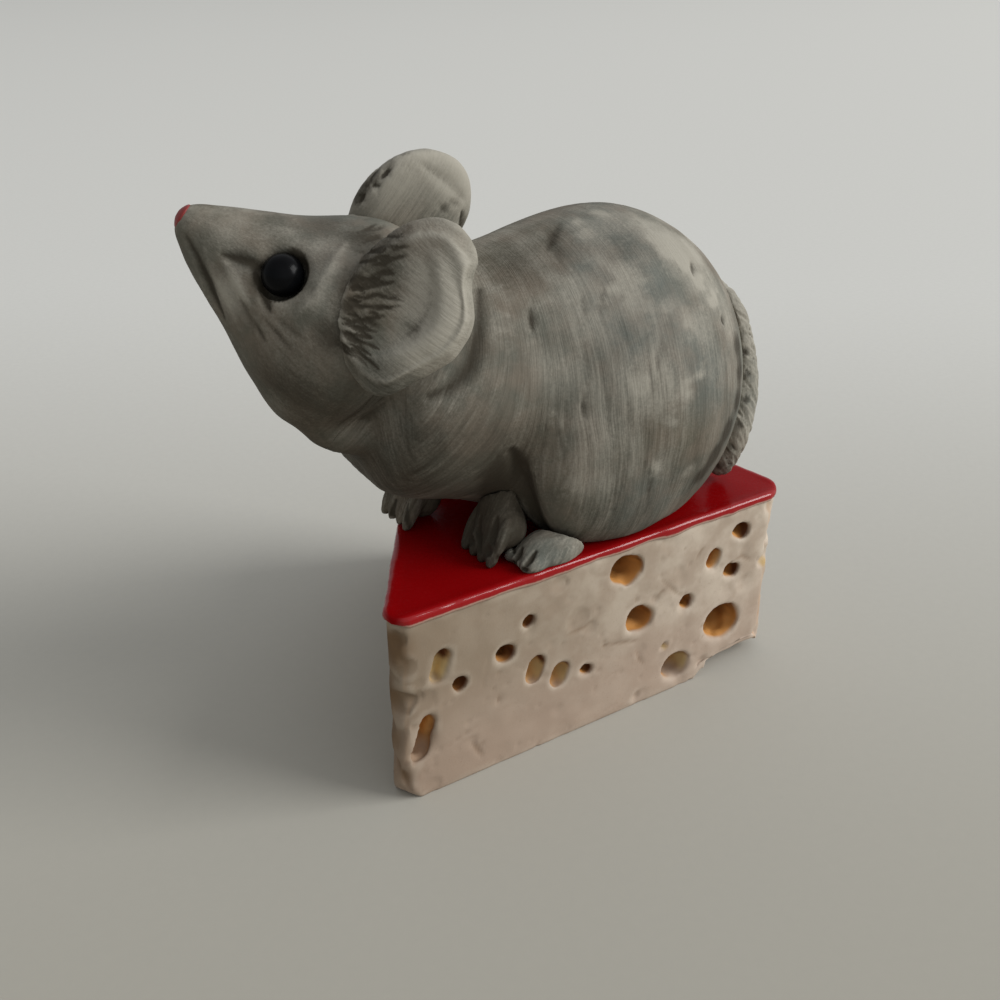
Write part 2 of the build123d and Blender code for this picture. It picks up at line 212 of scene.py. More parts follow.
def lumps(points, size, seed):
    """Smooth noise between -1 and 1 whose lumps are about `size` mm."""
    q = points / size + seed * 17.3
    base = np.floor(q).astype(np.int64)
    f = q - base
    f = f * f * (3 - 2 * f)
    total = np.zeros(len(q))
    for corner in range(8):
        step = np.array([corner & 1, corner >> 1 & 1, corner >> 2 & 1])
        g = base + step
        h = g[:, 0] * PRIMES[0] ^ g[:, 1] * PRIMES[1] ^ g[:, 2] * PRIMES[2]
        h = h + seed * 7919
        h = (h ^ (h >> 13)) * 1274126177 & 0x7FFFFFFF
        near = np.where(step == 1, f, 1 - f).prod(1)
        total += near * ((h ^ (h >> 16)) % 65536 / 32768.0 - 1)
    return total


# %% [markdown]
# ## The camera first
# The camera stands where the photographer stood, so that a place seen in the
# picture can be found on the model: a ray from the camera through that pixel
# hits the clay there. The picture is 1000 pixels wide and high.

# %% Camera
EYE = np.array([-64.07, -91.44, 78.22])
LOOK = np.array([0.4918, 0.7430, -0.4540])
LOOK = LOOK / np.linalg.norm(LOOK)
RIGHT = np.cross(LOOK, [0, 0, 1])
RIGHT = RIGHT / np.linalg.norm(RIGHT)
UP = np.cross(RIGHT, LOOK)
FOCAL = 1150.0  # in pixels
WIDTH = 1000  # pixels of the picture, also its height

lens = bpy.data.cameras.new("view")
lens.sensor_width = 36
lens.lens = FOCAL / WIDTH * lens.sensor_width
lens.clip_start = 0.005
camera = bpy.data.objects.new("view", lens)
camera.matrix_world = Matrix(
    [[RIGHT[i], UP[i], -LOOK[i], EYE[i] * MM] for i in range(3)] + [[0, 0, 0, 1]]
)
scene.collection.objects.link(camera)
scene.camera = camera
print("lens", round(lens.lens, 1), "mm")


# %% From the picture to the clay
def surface_of(*meshes):
    """Surface of one or more meshes, for rays and nearest points, in mm."""
    places, faces = [], []
    for mesh in meshes:
        mesh.calc_loop_triangles()
        corners = np.empty(len(mesh.loop_triangles) * 3, np.int32)
        mesh.loop_triangles.foreach_get("vertices", corners)
        faces += (corners.reshape(-1, 3) + len(places)).tolist()
        places += points_of(mesh).tolist()
    return BVHTree.FromPolygons(places, faces)


NEAR, FAR = 60, 190  # the ornament stands between these distances, in mm


def seen_at(surface, *pixels):
    """Places on the clay at these (u, v) pixels of the picture, or nearest to them."""
    places = []
    middle = WIDTH // 2
    for u, v in pixels:
        way = Vector(LOOK * FOCAL + RIGHT * (u - middle) - UP * (v - middle)).normalized()
        hit = surface.ray_cast(Vector(EYE), way)[0]
        if hit is None:
            along = [surface.find_nearest(Vector(EYE) + way * d) for d in range(NEAR, FAR, 2)]
            hit = min(along, key=lambda found: found[3])[0]
        places.append(np.array(hit))
    return places


# %% [markdown]
# ## Pressing lines into clay
# A needle drawn over soft clay leaves a groove with a soft bank on each side.
# `press` moves the points near a line inwards, most at its middle; a negative
# depth pushes a ridge up instead. It fades out towards both ends of the line.

# %% Press a groove, raise a ridge
def line_distance(points, path):
    """Distance of points from a line of places, and how far along it they are."""
    path = np.asarray(path, float)
    steps = np.linalg.norm(np.diff(path, axis=0), axis=1)
    total, run = steps.sum(), 0.0
    best = np.full(len(points), 1e9)
    share = np.zeros(len(points))
    for a, b, step in zip(path[:-1], path[1:], steps):
        way = (b - a) / step
        t = ((points - a) @ way).clip(0, step)
        gap = np.linalg.norm(points - a - t[:, None] * way, axis=1)
        closer = gap < best
        best[closer] = gap[closer]
        share[closer] = (run + t[closer]) / total
        run += step
    return best, share


def press(mesh, path, width, depth):
    """Groove of half width `width` along the path; returns its mask, 0 to 1."""
    points = points_of(mesh)
    gap, share = line_distance(points, path)
    taper = 0.45 + 0.55 * np.sin(np.pi * share)
    mask = np.exp(-((gap / (width * taper)) ** 2)) * taper
    put_points(mesh, points - normals_of(mesh) * (depth * mask)[:, None])
    return mask


def dab(points, centre, radius):
    """Soft round spot, 1 at its centre, for painting or pushing."""
    gap = np.linalg.norm(points - np.asarray(centre), axis=1)
    return ramp(gap, radius, radius * 0.15)


def nudge(mesh, surface, pushes):
    """Push clay sideways in the picture, by pixel u, v, radius, right and up in mm."""
    for u, v, radius, right, up in pushes:
        points = points_of(mesh)
        near = dab(points, seen_at(surface, (u, v))[0], radius)
        put_points(mesh, points + near[:, None] * (RIGHT * right + UP * up))


# %% [markdown]
# ## Scoring with Geometry Nodes
# The whole coat is made of hundreds of strokes of a blunt needle. They repeat
# over a surface, so Geometry Nodes make them: points are scattered on the clay,
# a short line is laid at each along the coat's direction (the `flow` stored on
# the clay), and every spot of clay near a line sinks. Each stroke has a random
# tone too, because each brush stroke of paint took a little more or less paint.
# The tree is built once and used on every piece with its own sizes.

# %% Helpers that place and join nodes
def add_node(tree, kind, **settings):
    node = tree.nodes.new(kind)
    for key, value in settings.items():
        setattr(node, key, value)
    return node


def join(tree, socket, value):
    """Link an output to an input, or set a plain value there."""
    if isinstance(value, bpy.types.NodeSocket):
        tree.links.new(value, socket)
    else:
        socket.default_value = value


def plug(tree, node, **values):
    """Join values to inputs by name, From_Min for From Min, or by number, n0 for the first."""
    for key, value in values.items():
        by_number = key[0] == "n" and key[1:].isdigit()
        join(tree, node.inputs[int(key[1:]) if by_number else key.replace("_", " ")], value)


def maths(tree, operation, *numbers):
    node = add_node(tree, "ShaderNodeMath", operation=operation)
    for index, number in enumerate(numbers):
        join(tree, node.inputs[index], number)
    return node.outputs[0]


def smooth_step(tree, value, low, high, out_low=0.0, out_high=1.0):
    """Soft step: out_low where the value is low, out_high where it is high."""
    node = add_node(tree, "ShaderNodeMapRange", interpolation_type="SMOOTHSTEP")
    plug(tree, node, Value=value, From_Min=low, From_Max=high, To_Min=out_low, To_Max=out_high)
    return node.outputs[0]


def named(tree, name, kind="FLOAT"):
    node = add_node(tree, "GeometryNodeInputNamedAttribute", data_type=kind)
    plug(tree, node, Name=name)
    return node.outputs["Attribute"]


def keep(tree, geometry, name, value, kind="FLOAT"):
    node = add_node(tree, "GeometryNodeStoreNamedAttribute", data_type=kind, domain="POINT")
    plug(tree, node, Geometry=geometry, Name=name, Value=value)
    return node.outputs[0]


# %% What every clay tree begins and ends with
def clay_tree(name, per_mm2, **sizes):
    """New tree with its sizes as inputs; also its inputs and its scattered points."""
    tree = bpy.data.node_groups.new(name, "GeometryNodeTree")
    face = tree.interface
    face.new_socket("Geometry", in_out="INPUT", socket_type="NodeSocketGeometry")
    for label, value in {per_mm2: 0.1, **sizes}.items():
        label = label.replace("_", " ")
        socket = face.new_socket(label, in_out="INPUT", socket_type="NodeSocketFloat")
        socket.default_value = value
    face.new_socket("Seed", in_out="INPUT", socket_type="NodeSocketInt")
    face.new_socket("Paint", in_out="INPUT", socket_type="NodeSocketMaterial")
    face.new_socket("Geometry", in_out="OUTPUT", socket_type="NodeSocketGeometry")
    given = add_node(tree, "NodeGroupInput").outputs
    scatter = add_node(tree, "GeometryNodeDistributePointsOnFaces")
    density = maths(tree, "MULTIPLY", given[per_mm2], 1e6)  # the clay is in metres
    plug(tree, scatter, Mesh=given["Geometry"], Density=density, Seed=given["Seed"])
    return tree, given, scatter.outputs


def of_nearest(tree, places, name):
    """The value kept on the nearest of some places."""
    nearest = add_node(tree, "GeometryNodeSampleNearest", domain="POINT")
    tree.links.new(places, nearest.inputs[0])
    pick = add_node(tree, "GeometryNodeSampleIndex", data_type="FLOAT", domain="POINT")
    plug(tree, pick, Geometry=places, Value=named(tree, name), Index=nearest.outputs[0])
    return pick.outputs[0]


def sink(tree, given, clay, dip):
    """Move the clay inwards by a share of the depth, paint it and give it out."""
    depth = maths(tree, "MULTIPLY", given["Depth mm"], -MM)
    move = add_node(tree, "ShaderNodeVectorMath", operation="SCALE")
    plug(tree, move, n0=add_node(tree, "GeometryNodeInputNormal").outputs[0])
    plug(tree, move, Scale=maths(tree, "MULTIPLY", dip, depth))
    shift = add_node(tree, "GeometryNodeSetPosition")
    plug(tree, shift, Geometry=clay, Offset=move.outputs[0])
    whole = add_node(tree, "GeometryNodeRealizeInstances")
    plug(tree, whole, Geometry=shift.outputs[0])
    paint = add_node(tree, "GeometryNodeSetMaterial")
    plug(tree, paint, Geometry=whole.outputs[0], Material=given["Paint"])
    plug(tree, add_node(tree, "NodeGroupOutput"), Geometry=paint.outputs[0])


def run_tree(obj, group, wanted):
    """Work a piece over with a tree and its own sizes, and keep the outcome."""
    tool = obj.modifiers.new(group.name, "NODES")
    tool.node_group = group
    for item in group.interface.items_tree:
        if item.in_out == "INPUT" and item.name in wanted:
            tool[item.identifier] = wanted[item.name]
    apply_modifiers(obj)


# %% The scoring tree
def scoring_tree():
    tree, given, scatter = clay_tree(
        "needle_strokes", "Strokes per square mm",
        Length_mm=4.0, Half_width_mm=0.4, Depth_mm=0.1, Stray=0.25,
    )
    chance = add_node(tree, "FunctionNodeRandomValue", data_type="FLOAT")
    plug(tree, chance, Seed=given["Seed"])
    marked = keep(tree, scatter["Points"], "stroke_tone", chance.outputs[1])

    # a short line for each point, turned along the flow and a little astray
    length = maths(tree, "MULTIPLY", given["Length mm"], MM)
    count = 7  # points of one line
    spacing = add_node(tree, "ShaderNodeCombineXYZ")
    plug(tree, spacing, X=maths(tree, "DIVIDE", length, count - 1.0))
    start = add_node(tree, "ShaderNodeCombineXYZ")
    plug(tree, start, X=maths(tree, "MULTIPLY", length, -0.5))
    line = add_node(tree, "GeometryNodeMeshLine", mode="OFFSET")
    plug(tree, line, Count=count, Start_Location=start.outputs[0], Offset=spacing.outputs[0])
    astray = add_node(tree, "FunctionNodeRandomValue", data_type="FLOAT_VECTOR")
    plug(tree, astray, n0=(-1, -1, -1), n1=(1, 1, 1), Seed=given["Seed"])
    wander = add_node(tree, "ShaderNodeVectorMath", operation="SCALE")
    plug(tree, wander, n0=astray.outputs[0], Scale=given["Stray"])
    way = add_node(tree, "ShaderNodeVectorMath", operation="ADD")
    plug(tree, way, n0=named(tree, "flow", "FLOAT_VECTOR"), n1=wander.outputs[0])
    upright = add_node(tree, "FunctionNodeAlignRotationToVector", axis="Z")
    plug(tree, upright, Vector=scatter["Normal"])
    along = add_node(tree, "FunctionNodeAlignRotationToVector", axis="X", pivot_axis="Z")
    plug(tree, along, Rotation=upright.outputs[0], Vector=way.outputs[0])
    longer = add_node(tree, "FunctionNodeRandomValue", data_type="FLOAT")
    plug(tree, longer, n2=0.5, n3=1.4, Seed=given["Seed"])
    lay = add_node(tree, "GeometryNodeInstanceOnPoints")
    plug(tree, lay, Points=marked, Instance=line.outputs[0], Rotation=along.outputs[0])
    plug(tree, lay, Scale=longer.outputs[1])
    real = add_node(tree, "GeometryNodeRealizeInstances")
    plug(tree, real, Geometry=lay.outputs[0])
    strokes = real.outputs[0]

    # the clay near a line sinks
    near = add_node(tree, "GeometryNodeProximity", target_element="EDGES")
    tree.links.new(strokes, near.inputs[0])
    half = maths(tree, "MULTIPLY", given["Half width mm"], MM)
    fall = smooth_step(tree, near.outputs["Distance"], 0.0, half, 1.0, 0.0)
    dip = maths(tree, "MULTIPLY", fall, named(tree, "amount"))
    tone = of_nearest(tree, strokes, "stroke_tone")
    dip = maths(tree, "MULTIPLY", dip, maths(tree, "MULTIPLY_ADD", tone, 0.7, 0.3))
    clay = keep(tree, given["Geometry"], "groove", dip)
    clay = keep(tree, clay, "tone", tone)
    sink(tree, given, clay, dip)
    return tree


needle = scoring_tree()
print("scoring tree:", len(needle.nodes), "nodes")


# %% Use the tree on one piece
def score(obj, paint, per_mm2, length, half_width, depth, stray, seed):
    """Score a piece and keep its groove and tone, added to those it has."""
    mesh = obj.data
    before = {}
    for name in ("groove_sum", "tone_sum"):
        before[name] = values_of(mesh, name) if name in mesh.attributes else 0.0
    run_tree(obj, needle, {
        "Strokes per square mm": per_mm2, "Length mm": length, "Half width mm": half_width,
        "Depth mm": depth, "Stray": stray, "Seed": seed, "Paint": paint,
    })
    mesh = obj.data
    store(mesh, "groove_sum", before["groove_sum"] + values_of(mesh, "groove") * depth)
    store(mesh, "tone_sum", before["tone_sum"] + values_of(mesh, "tone") - 0.5)


# %% [markdown]
# ## Paint
# Colours are chosen as a painter would name them on a screen, 0 to 255, and
# turned into the linear values that Blender's shaders expect.

# %% Paint pots
def pot(red, green, blue):
    parts = [c / 255 for c in (red, green, blue)]
    linear = [c / 12.92 if c <= 0.04045 else ((c + 0.055) / 1.055) ** 2.4 for c in parts]
    return (*linear, 1.0)


POTS = {
    "umber": pot(50, 44, 33),
    "coat": pot(93, 88, 74),
    "blue_grey": pot(99, 102, 95),
    "pale": pot(160, 155, 142),
    "rose_grey": pot(134, 119, 104),
    "red": pot(130, 4, 7),
    "red_stain": pot(134, 6, 10),
    "red_edge": pot(176, 24, 30),
    "red_rubbed": pot(176, 146, 130),
    "cream": pot(170, 153, 135),
    "cream_light": pot(194, 180, 162),
    "cream_pink": pot(168, 146, 129),
    # painted shade for the cheese's end away from the lamp
    "cream_handled": pot(132, 116, 96),
    "cream_chalk": pot(214, 202, 184),
    "speck": pot(128, 102, 80),
    # dirt in scratches and pits, and painted shade on the nose's facet
    "dirt": pot(112, 88, 62),
    "ochre": pot(190, 134, 70),
    "straw": pot(188, 166, 118),
    "burnt": pot(84, 45, 17),
    "black": pot(5, 5, 6),
    "black_dust": pot(12, 13, 15),
    "nose": pot(132, 34, 28),
}
print("paint pots:", ", ".join(POTS))

# %% [markdown]
# ## Shader groups
# Three effects come back on several pieces, so each is a node group with named
# inputs. `hair_streaks` draws thin streaks along the way the coat was brushed:
# the clay keeps a vector called `comb`, whose first two parts run across the
# coat and whose third runs along it, so a noise squeezed along the third part
# becomes streaks. `fired_clay` gives fine grain and faint stains. `brushed`
# lays pale paint where the clay stands proud and dark paint in its grooves.

# %% Shader helpers
def shader_group(name, inputs, outputs):
    tree = bpy.data.node_groups.new(name, "ShaderNodeTree")
    for label, kind, value in inputs:
        socket = tree.interface.new_socket(label, in_out="INPUT", socket_type=kind)
        if value is not None:
            socket.default_value = value
    for label, kind in outputs:
        tree.interface.new_socket(label, in_out="OUTPUT", socket_type=kind)
    return tree, add_node(tree, "NodeGroupInput").outputs, add_node(tree, "NodeGroupOutput")


def attribute(tree, name, output="Fac"):
    node = add_node(tree, "ShaderNodeAttribute", attribute_name=name)
    return node.outputs[output]


def noise(tree, vector, scale, detail=3.0, roughness=0.55):
    node = add_node(tree, "ShaderNodeTexNoise")
    plug(tree, node, Vector=vector, Scale=scale, Detail=detail, Roughness=roughness)
    return node.outputs["Fac"]


def blend(tree, factor, under, over):
    """One colour laid over another where the factor is 1."""
    node = add_node(tree, "ShaderNodeMix", data_type="RGBA", blend_type="MIX")
    plug(tree, node, n0=factor, n6=under, n7=over)
    return node.outputs[2]


def stretched(tree, vector, across, along):
    node = add_node(tree, "ShaderNodeVectorMath", operation="MULTIPLY")
    plug(tree, node, n0=vector, n1=(across, across, along))
    return node.outputs[0]


# %% Streaks along the coat
streaks, given, out = shader_group(
    "hair_streaks",
    [("Comb", "NodeSocketVector", None), ("Fineness", "NodeSocketFloat", 1.0)],
    [("Fine", "NodeSocketFloat"), ("Broad", "NodeSocketFloat")],
)
fine = noise(streaks, stretched(streaks, given["Comb"], 3.4, 0.22), given["Fineness"], 4.0, 0.62)
broad = noise(streaks, stretched(streaks, given["Comb"], 0.55, 0.09), given["Fineness"], 3.0, 0.5)
plug(
    streaks, out,
    Fine=smooth_step(streaks, fine, 0.33, 0.67), Broad=smooth_step(streaks, broad, 0.35, 0.65),
)

# %% Grain and stains of fired clay
grain, given, out = shader_group(
    "fired_clay",
    [("Vector", "NodeSocketVector", None), ("Grain size mm", "NodeSocketFloat", 0.25)],
    [("Grain", "NodeSocketFloat"), ("Stain", "NodeSocketFloat")],
)
per_m = maths(grain, "DIVIDE", 1 / MM, given["Grain size mm"])
specks = noise(grain, given["Vector"], per_m, 4.0, 0.65)
stain = noise(grain, given["Vector"], maths(grain, "MULTIPLY", per_m, 0.045), 3.0, 0.6)
plug(grain, out, Grain=specks, Stain=smooth_step(grain, stain, 0.35, 0.68))

# %% Dry brush and dark wash
brushed, given, out = shader_group(
    "brushed",
    [
        ("Coat", "NodeSocketColor", POTS["coat"]),
        ("Pale", "NodeSocketColor", POTS["pale"]),
        ("Wash", "NodeSocketColor", POTS["umber"]),
        ("Pale amount", "NodeSocketFloat", 0.5),
        ("Wash amount", "NodeSocketFloat", 0.5),
    ],
    [("Colour", "NodeSocketColor")],
)
# the pale and dark amounts carry painted light and painted shade as well as paint
lifted = blend(brushed, given["Pale amount"], given["Coat"], given["Pale"])
plug(brushed, out, Colour=blend(brushed, given["Wash amount"], lifted, given["Wash"]))
print("shader groups:", streaks.name, grain.name, brushed.name)


# %% Start of a material
def new_paint(name, roughness):
    paint = bpy.data.materials.new(name)
    paint.use_nodes = True
    tree = paint.node_tree
    shader = next(n for n in tree.nodes if n.type == "BSDF_PRINCIPLED")
    plug(tree, shader, Roughness=roughness)
    return paint, tree, shader


def use_group(tree, group, **values):
    node = add_node(tree, "ShaderNodeGroup", node_tree=group)
    plug(tree, node, **values)
    return node.outputs


def object_place(tree):
    return add_node(tree, "ShaderNodeTexCoord").outputs["Object"]


def bumped(tree, shader, height, strength, distance):
    bump = add_node(tree, "ShaderNodeBump")
    plug(tree, bump, Strength=strength, Distance=distance * MM, Height=height)
    plug(tree, shader, Normal=bump.outputs[0])


# %% [markdown]
# ## The coat's paint
# Three things are read from the clay: `light`, where the pale brush went and
# where light is painted on; the wash, where dark paint stayed and where shade is
# painted on; and `cool`, where the grey turns blue. Thin streaks break all
# three up, because a dry brush leaves hair lines.

# %% Coat paint
def swing(tree, value, width):
    """A value between 0 and 1 as a change to either side, `width` in all."""
    return maths(tree, "MULTIPLY_ADD", value, width, -width / 2)


def coat_streaks(tree, fineness):
    """Fine and broad streaks: along the flanks, over the ends and down the head."""
    combs = {
        comb: use_group(tree, streaks, Comb=attribute(tree, comb, "Vector"), Fineness=fineness)
        for comb in ("comb", "comb_end", "comb_head")
    }
    both = []
    for label in ("Fine", "Broad"):
        value = combs["comb"][label]
        for comb, mask in (("comb_end", "end_on"), ("comb_head", "head_on")):
            mix = add_node(tree, "ShaderNodeMix", data_type="FLOAT")
            plug(tree, mix, n0=attribute(tree, mask), n2=value, n3=combs[comb][label])
            value = mix.outputs[0]
        both.append(value)
    return both


def coat_paint(name, fineness=1.0, streaking=1.0):
    paint, tree, shader = new_paint(name, 0.82)
    plug(tree, shader, Specular_IOR_Level=0.25)
    fine, broad = coat_streaks(tree, fineness)
    clay = use_group(tree, grain, Vector=object_place(tree), Grain_size_mm=0.22)
    hair, swathe = swing(tree, fine, 0.13 * streaking), swing(tree, broad, 0.16 * streaking)
    brushy = attribute(tree, "brushy")
    streaky = maths(tree, "MULTIPLY", maths(tree, "ADD", hair, swathe), brushy)
    uneven = maths(tree, "ADD", streaky, swing(tree, clay["Grain"], 0.44))
    # the pale and dark masks hold painted light and painted shade as well as paint
    pale = smooth_step(tree, maths(tree, "ADD", attribute(tree, "light"), uneven), 0.1, 1.1)
    dark = maths(tree, "SUBTRACT", attribute(tree, "wash"), maths(tree, "MULTIPLY", uneven, 0.8))
    dark = smooth_step(tree, dark, 0.08, 1.0, 0.0, 0.92)
    cool = blend(tree, attribute(tree, "cool"), POTS["coat"], POTS["blue_grey"])
    warm = blend(tree, maths(tree, "MULTIPLY", clay["Stain"], 0.45), cool, POTS["rose_grey"])
    colour = use_group(
        tree, brushed, Coat=warm, Pale=POTS["pale"], Wash=POTS["umber"],
        Pale_amount=pale, Wash_amount=dark,
    )["Colour"]
    plug(tree, shader, Base_Color=colour)
    lines = maths(tree, "ADD", fine, maths(tree, "MULTIPLY", clay["Grain"], 0.6))
    bumped(tree, shader, lines, 0.5, 0.045)
    return paint


coat = coat_paint("brushed_coat")
print("coat paint:", len(coat.node_tree.nodes), "nodes")

# %% [markdown]
# ## The stage
# A plain pale sheet under the ornament, a big soft lamp at the camera's right
# and a dim white room around it, as the soft shadow to the left shows. The
# sheet is painted darker near the camera and lighter far away, painted shade
# and painted light, and the room is brighter on the lamp's side.

# %% Floor
# painted shade near the camera and painted light far away on the sheet
SHADED_NEAR_SHEET, LIT_FAR_SHEET, FIBRES = pot(170, 166, 154), pot(216, 215, 209), pot(150, 147, 140)
AWAY = (0.57, 0.82, 0)  # level direction from the camera into the picture


def plain_floor():
    mesh = bpy.data.meshes.new("pale_sheet")
    bm = bmesh.new()
    bmesh.ops.create_grid(bm, x_segments=2, y_segments=2, size=4.0)
    bm.to_mesh(mesh)
    bm.free()
    sheet = new_object("pale_sheet", mesh)
    paint, tree, shader = new_paint("pale_sheet", 0.9)
    fibre = noise(tree, object_place(tree), 900.0, 3.0)
    away = add_node(tree, "ShaderNodeVectorMath", operation="DOT_PRODUCT")
    plug(tree, away, n0=object_place(tree), n1=AWAY)
    distance = smooth_step(tree, away.outputs["Value"], -0.09, 0.16)  # in metres
    tone = blend(tree, distance, SHADED_NEAR_SHEET, LIT_FAR_SHEET)
    tone = blend(tree, maths(tree, "MULTIPLY", fibre, 0.12), tone, FIBRES)
    plug(tree, shader, Base_Color=tone)
    plug(tree, shader, Specular_IOR_Level=0.0)
    mesh.materials.append(paint)
    return sheet


floor = plain_floor()
print("floor:", floor.name)

# %% Room and lamp
room = bpy.data.worlds.new("room")
scene.world = room
room.use_nodes = True
room_tree = room.node_tree
sky_way = add_node(room_tree, "ShaderNodeTexCoord").outputs["Generated"]
towards = add_node(room_tree, "ShaderNodeVectorMath", operation="DOT_PRODUCT")
plug(room_tree, towards, n0=sky_way, n1=tuple(RIGHT))
glow = smooth_step(room_tree, towards.outputs["Value"], -1.0, 1.0, 0.36, 0.74)
plug(room_tree, room_tree.nodes["Background"], Strength=glow, Color=(0.95, 0.97, 1.0, 1))

MOUSE_MIDDLE = Vector((0, 0, 28))
AHEAD = np.array([LOOK[0], LOOK[1], 0]) / np.hypot(LOOK[0], LOOK[1])
WINDOW_WAY = RIGHT * 0.88 - AHEAD * 0.08 + np.array([0, 0, 0.47])


def soft_lamp(name, direction, distance, size, power):
    """Square lamp that looks at the mouse from a direction, in millimetres."""
    lamp = bpy.data.lights.new(name, "AREA")
    lamp.shape = "SQUARE"
    lamp.size = size * MM
    lamp.energy = power
    obj = bpy.data.objects.new(name, lamp)
    way = Vector(direction).normalized()
    obj.location = (MOUSE_MIDDLE + way * distance) * MM
    obj.rotation_euler = way.to_track_quat("Z", "Y").to_euler()
    scene.collection.objects.link(obj)
    return obj


window = soft_lamp("window", WINDOW_WAY, distance=4000, size=2300, power=128)
scene.view_settings.view_transform = "Standard"
print("lamp at", [round(v, 3) for v in window.location])


# %% [markdown]
# ## Where the head points
# The head is turned and tipped up. Three directions carry everything on it: out
# through the nose, out to the mouse's left, and up through the crown. What the
# picture shows on the left side of the face is repeated on the right side by
# turning the left direction round.

# %% Head directions and eye places
SKULL = np.array([-20.66, 0.64, 45.5])
NOSE_WAY = np.array([-0.7098, 0.3774, 0.5948])
LEFT_WAY = np.array([-0.5218, -0.8489, -0.0840])
CROWN_WAY = np.array([0.4732, -0.3700, 0.7995])


def centre_of(node):
    low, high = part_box(node)
    return (np.array(low) + np.array(high)) / 2 / MM


LEFT_EYE, RIGHT_EYE = centre_of("left_eye"), centre_of("right_eye")
BEAD = float(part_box("left_eye")[1][2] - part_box("left_eye")[0][2]) / 2 / MM
print("bead radius", round(BEAD, 2), "mm at", LEFT_EYE.round(1))


def other_side(places):
    """The same places on the other half of the face."""
    off = (np.asarray(places) - SKULL) @ LEFT_WAY
    return np.asarray(places) - 2 * np.outer(off, LEFT_WAY).reshape(np.shape(places))


# %% [markdown]
# ## The skin of the body
# Belly, head and thighs are separate lumps, but the modeller wiped the joins
# over with a wet finger. So their copies are joined into one even skin, the
# joins are softened, and the skin is made finer before any detail goes in. The
# head is cut off again at the end, as a piece of its own.

# %% One even skin
skin = clay_copy("skin", "torso", "head", "left_haunch", "right_haunch")


def add_lump(obj, centre, radii, ways):
    """Press one more lump of clay on, an egg with its own three directions."""
    bm = bmesh.new()
    bm.from_mesh(obj.data)
    egg = bmesh.ops.create_icosphere(bm, subdivisions=4, radius=1.0)
    turn = np.stack(ways, 1) * np.asarray(radii)
    for vert in egg["verts"]:
        vert.co = Vector((turn @ np.array(vert.co) + centre) * MM)
    bm.to_mesh(obj.data)
    bm.free()


HEAD_WAYS = (LEFT_WAY, CROWN_WAY, NOSE_WAY)
HEAD_LUMPS = [  # how far left, to the crown and to the nose of the skull, then the radii
    (6.4, 6.4, -4.2, (1.6, 5.2, 3.6)),  # behind the near ear's root
    (-7.2, 7.0, -2.2, (1.0, 3.6, 3.4)),  # the far ear's root
    (1.4, 8.2, -4.2, (7.6, 3.4, 3.0)),  # crown, from ear to ear
    (2.2, -7.0, -5.2, (4.2, 3.2, 4.6)),  # throat
    (6.6, 4.4, -0.4, (1.9, 5.2, 2.6)),  # cheek before the near ear
    (4.8, 8.9, -3.2, (4.0, 2.8, 3.2)),  # crown, next to the near ear
]
for left, crown, nose, radii in HEAD_LUMPS:
    centre = left * LEFT_WAY + crown * CROWN_WAY + nose * NOSE_WAY
    add_lump(skin, SKULL + centre, radii, HEAD_WAYS)
print("lumps pressed on the head:", len(HEAD_LUMPS))

# %% Wipe the joins, and push chin and throat into line
THROAT_PUSHES = [
    (292, 418, 5.0, -0.15, -0.85), (322, 442, 3.6, 0.0, -0.45), (354, 468, 3.6, 0.1, 0.60),
    (344, 456, 2.6, -0.1, -0.35),
]
NECK_PIXEL, NECK_RADIUS = (335, 440), 9.0
remesh(skin, 0.49)  # fine enough for the marks, and under 200,000 triangles
soften(skin.data, 9)
refine(skin)
clay = skin.data
p = points_of(clay)
p += normals_of(clay) * (0.10 * lumps(p, 6.5, 3) + 0.035 * lumps(p, 2.2, 4))[:, None]
put_points(clay, p)
surface = surface_of(clay)
nudge(clay, surface, THROAT_PUSHES)
p = points_of(clay)
neck_area = dab(p, seen_at(surface, NECK_PIXEL)[0], NECK_RADIUS)
put_points(clay, p + (smoothed(clay, p, 60) - p) * (0.8 * neck_area)[:, None])
surface = surface_of(clay)
print("skin:", len(clay.vertices), "points")

# %% [markdown]
# ## The face
# Each eye sits in a socket that opens a little wider than the bead, which
# leaves a pale crescent beside it; the dark ring round the bead is painted
# shade. The mouth, the tear duct and the marks under the eye were drawn with a
# needle.

# %% Eye sockets
EYEBALL = 0.92 * BEAD  # the ball drawn is a little smaller than the CAD bead
WIDER, BEHIND = 0.46, 0.06  # mm between ball and clay, at the rim and behind the ball


def open_socket(mesh, centre):
    """Push the clay away from a bead; returns a mask of painted shade round it."""
    points = points_of(mesh)
    side = np.sign((centre - SKULL) @ LEFT_WAY)
    out = side * LEFT_WAY - 0.10 * NOSE_WAY + 0.24 * CROWN_WAY
    out = out / np.linalg.norm(out)
    off = points - centre
    gap = np.linalg.norm(off, axis=1)
    height = off @ out
    room = EYEBALL + BEHIND + WIDER * ramp(height, -0.6, 0.2)
    push = (gap < room) & (gap > 0.01)
    points[push] += off[push] / gap[push, None] * (room - gap)[push, None]
    put_points(mesh, points)
    # painted shade: a dark ring at the ball, deepest to the upper left, a thin dark line at the
    # brim, and shade to the upper left of the cup
    shady = off @ (UP - RIGHT) / np.sqrt(2) / gap.clip(0.1)
    close = np.exp(-(((gap - EYEBALL - 0.10) / 0.22) ** 2))
    close = close * (0.3 + 0.7 * ramp(shady, -0.4, 0.2))
    brim = np.exp(-(((gap - EYEBALL - WIDER - 0.08) / 0.12) ** 2))
    cup = np.exp(-(((gap - EYEBALL - 0.25) / 0.5) ** 2)) * ramp(shady, -0.3, 0.5)
    return np.maximum(np.maximum(close, brim), cup) * ramp(height, -0.9, -0.3)


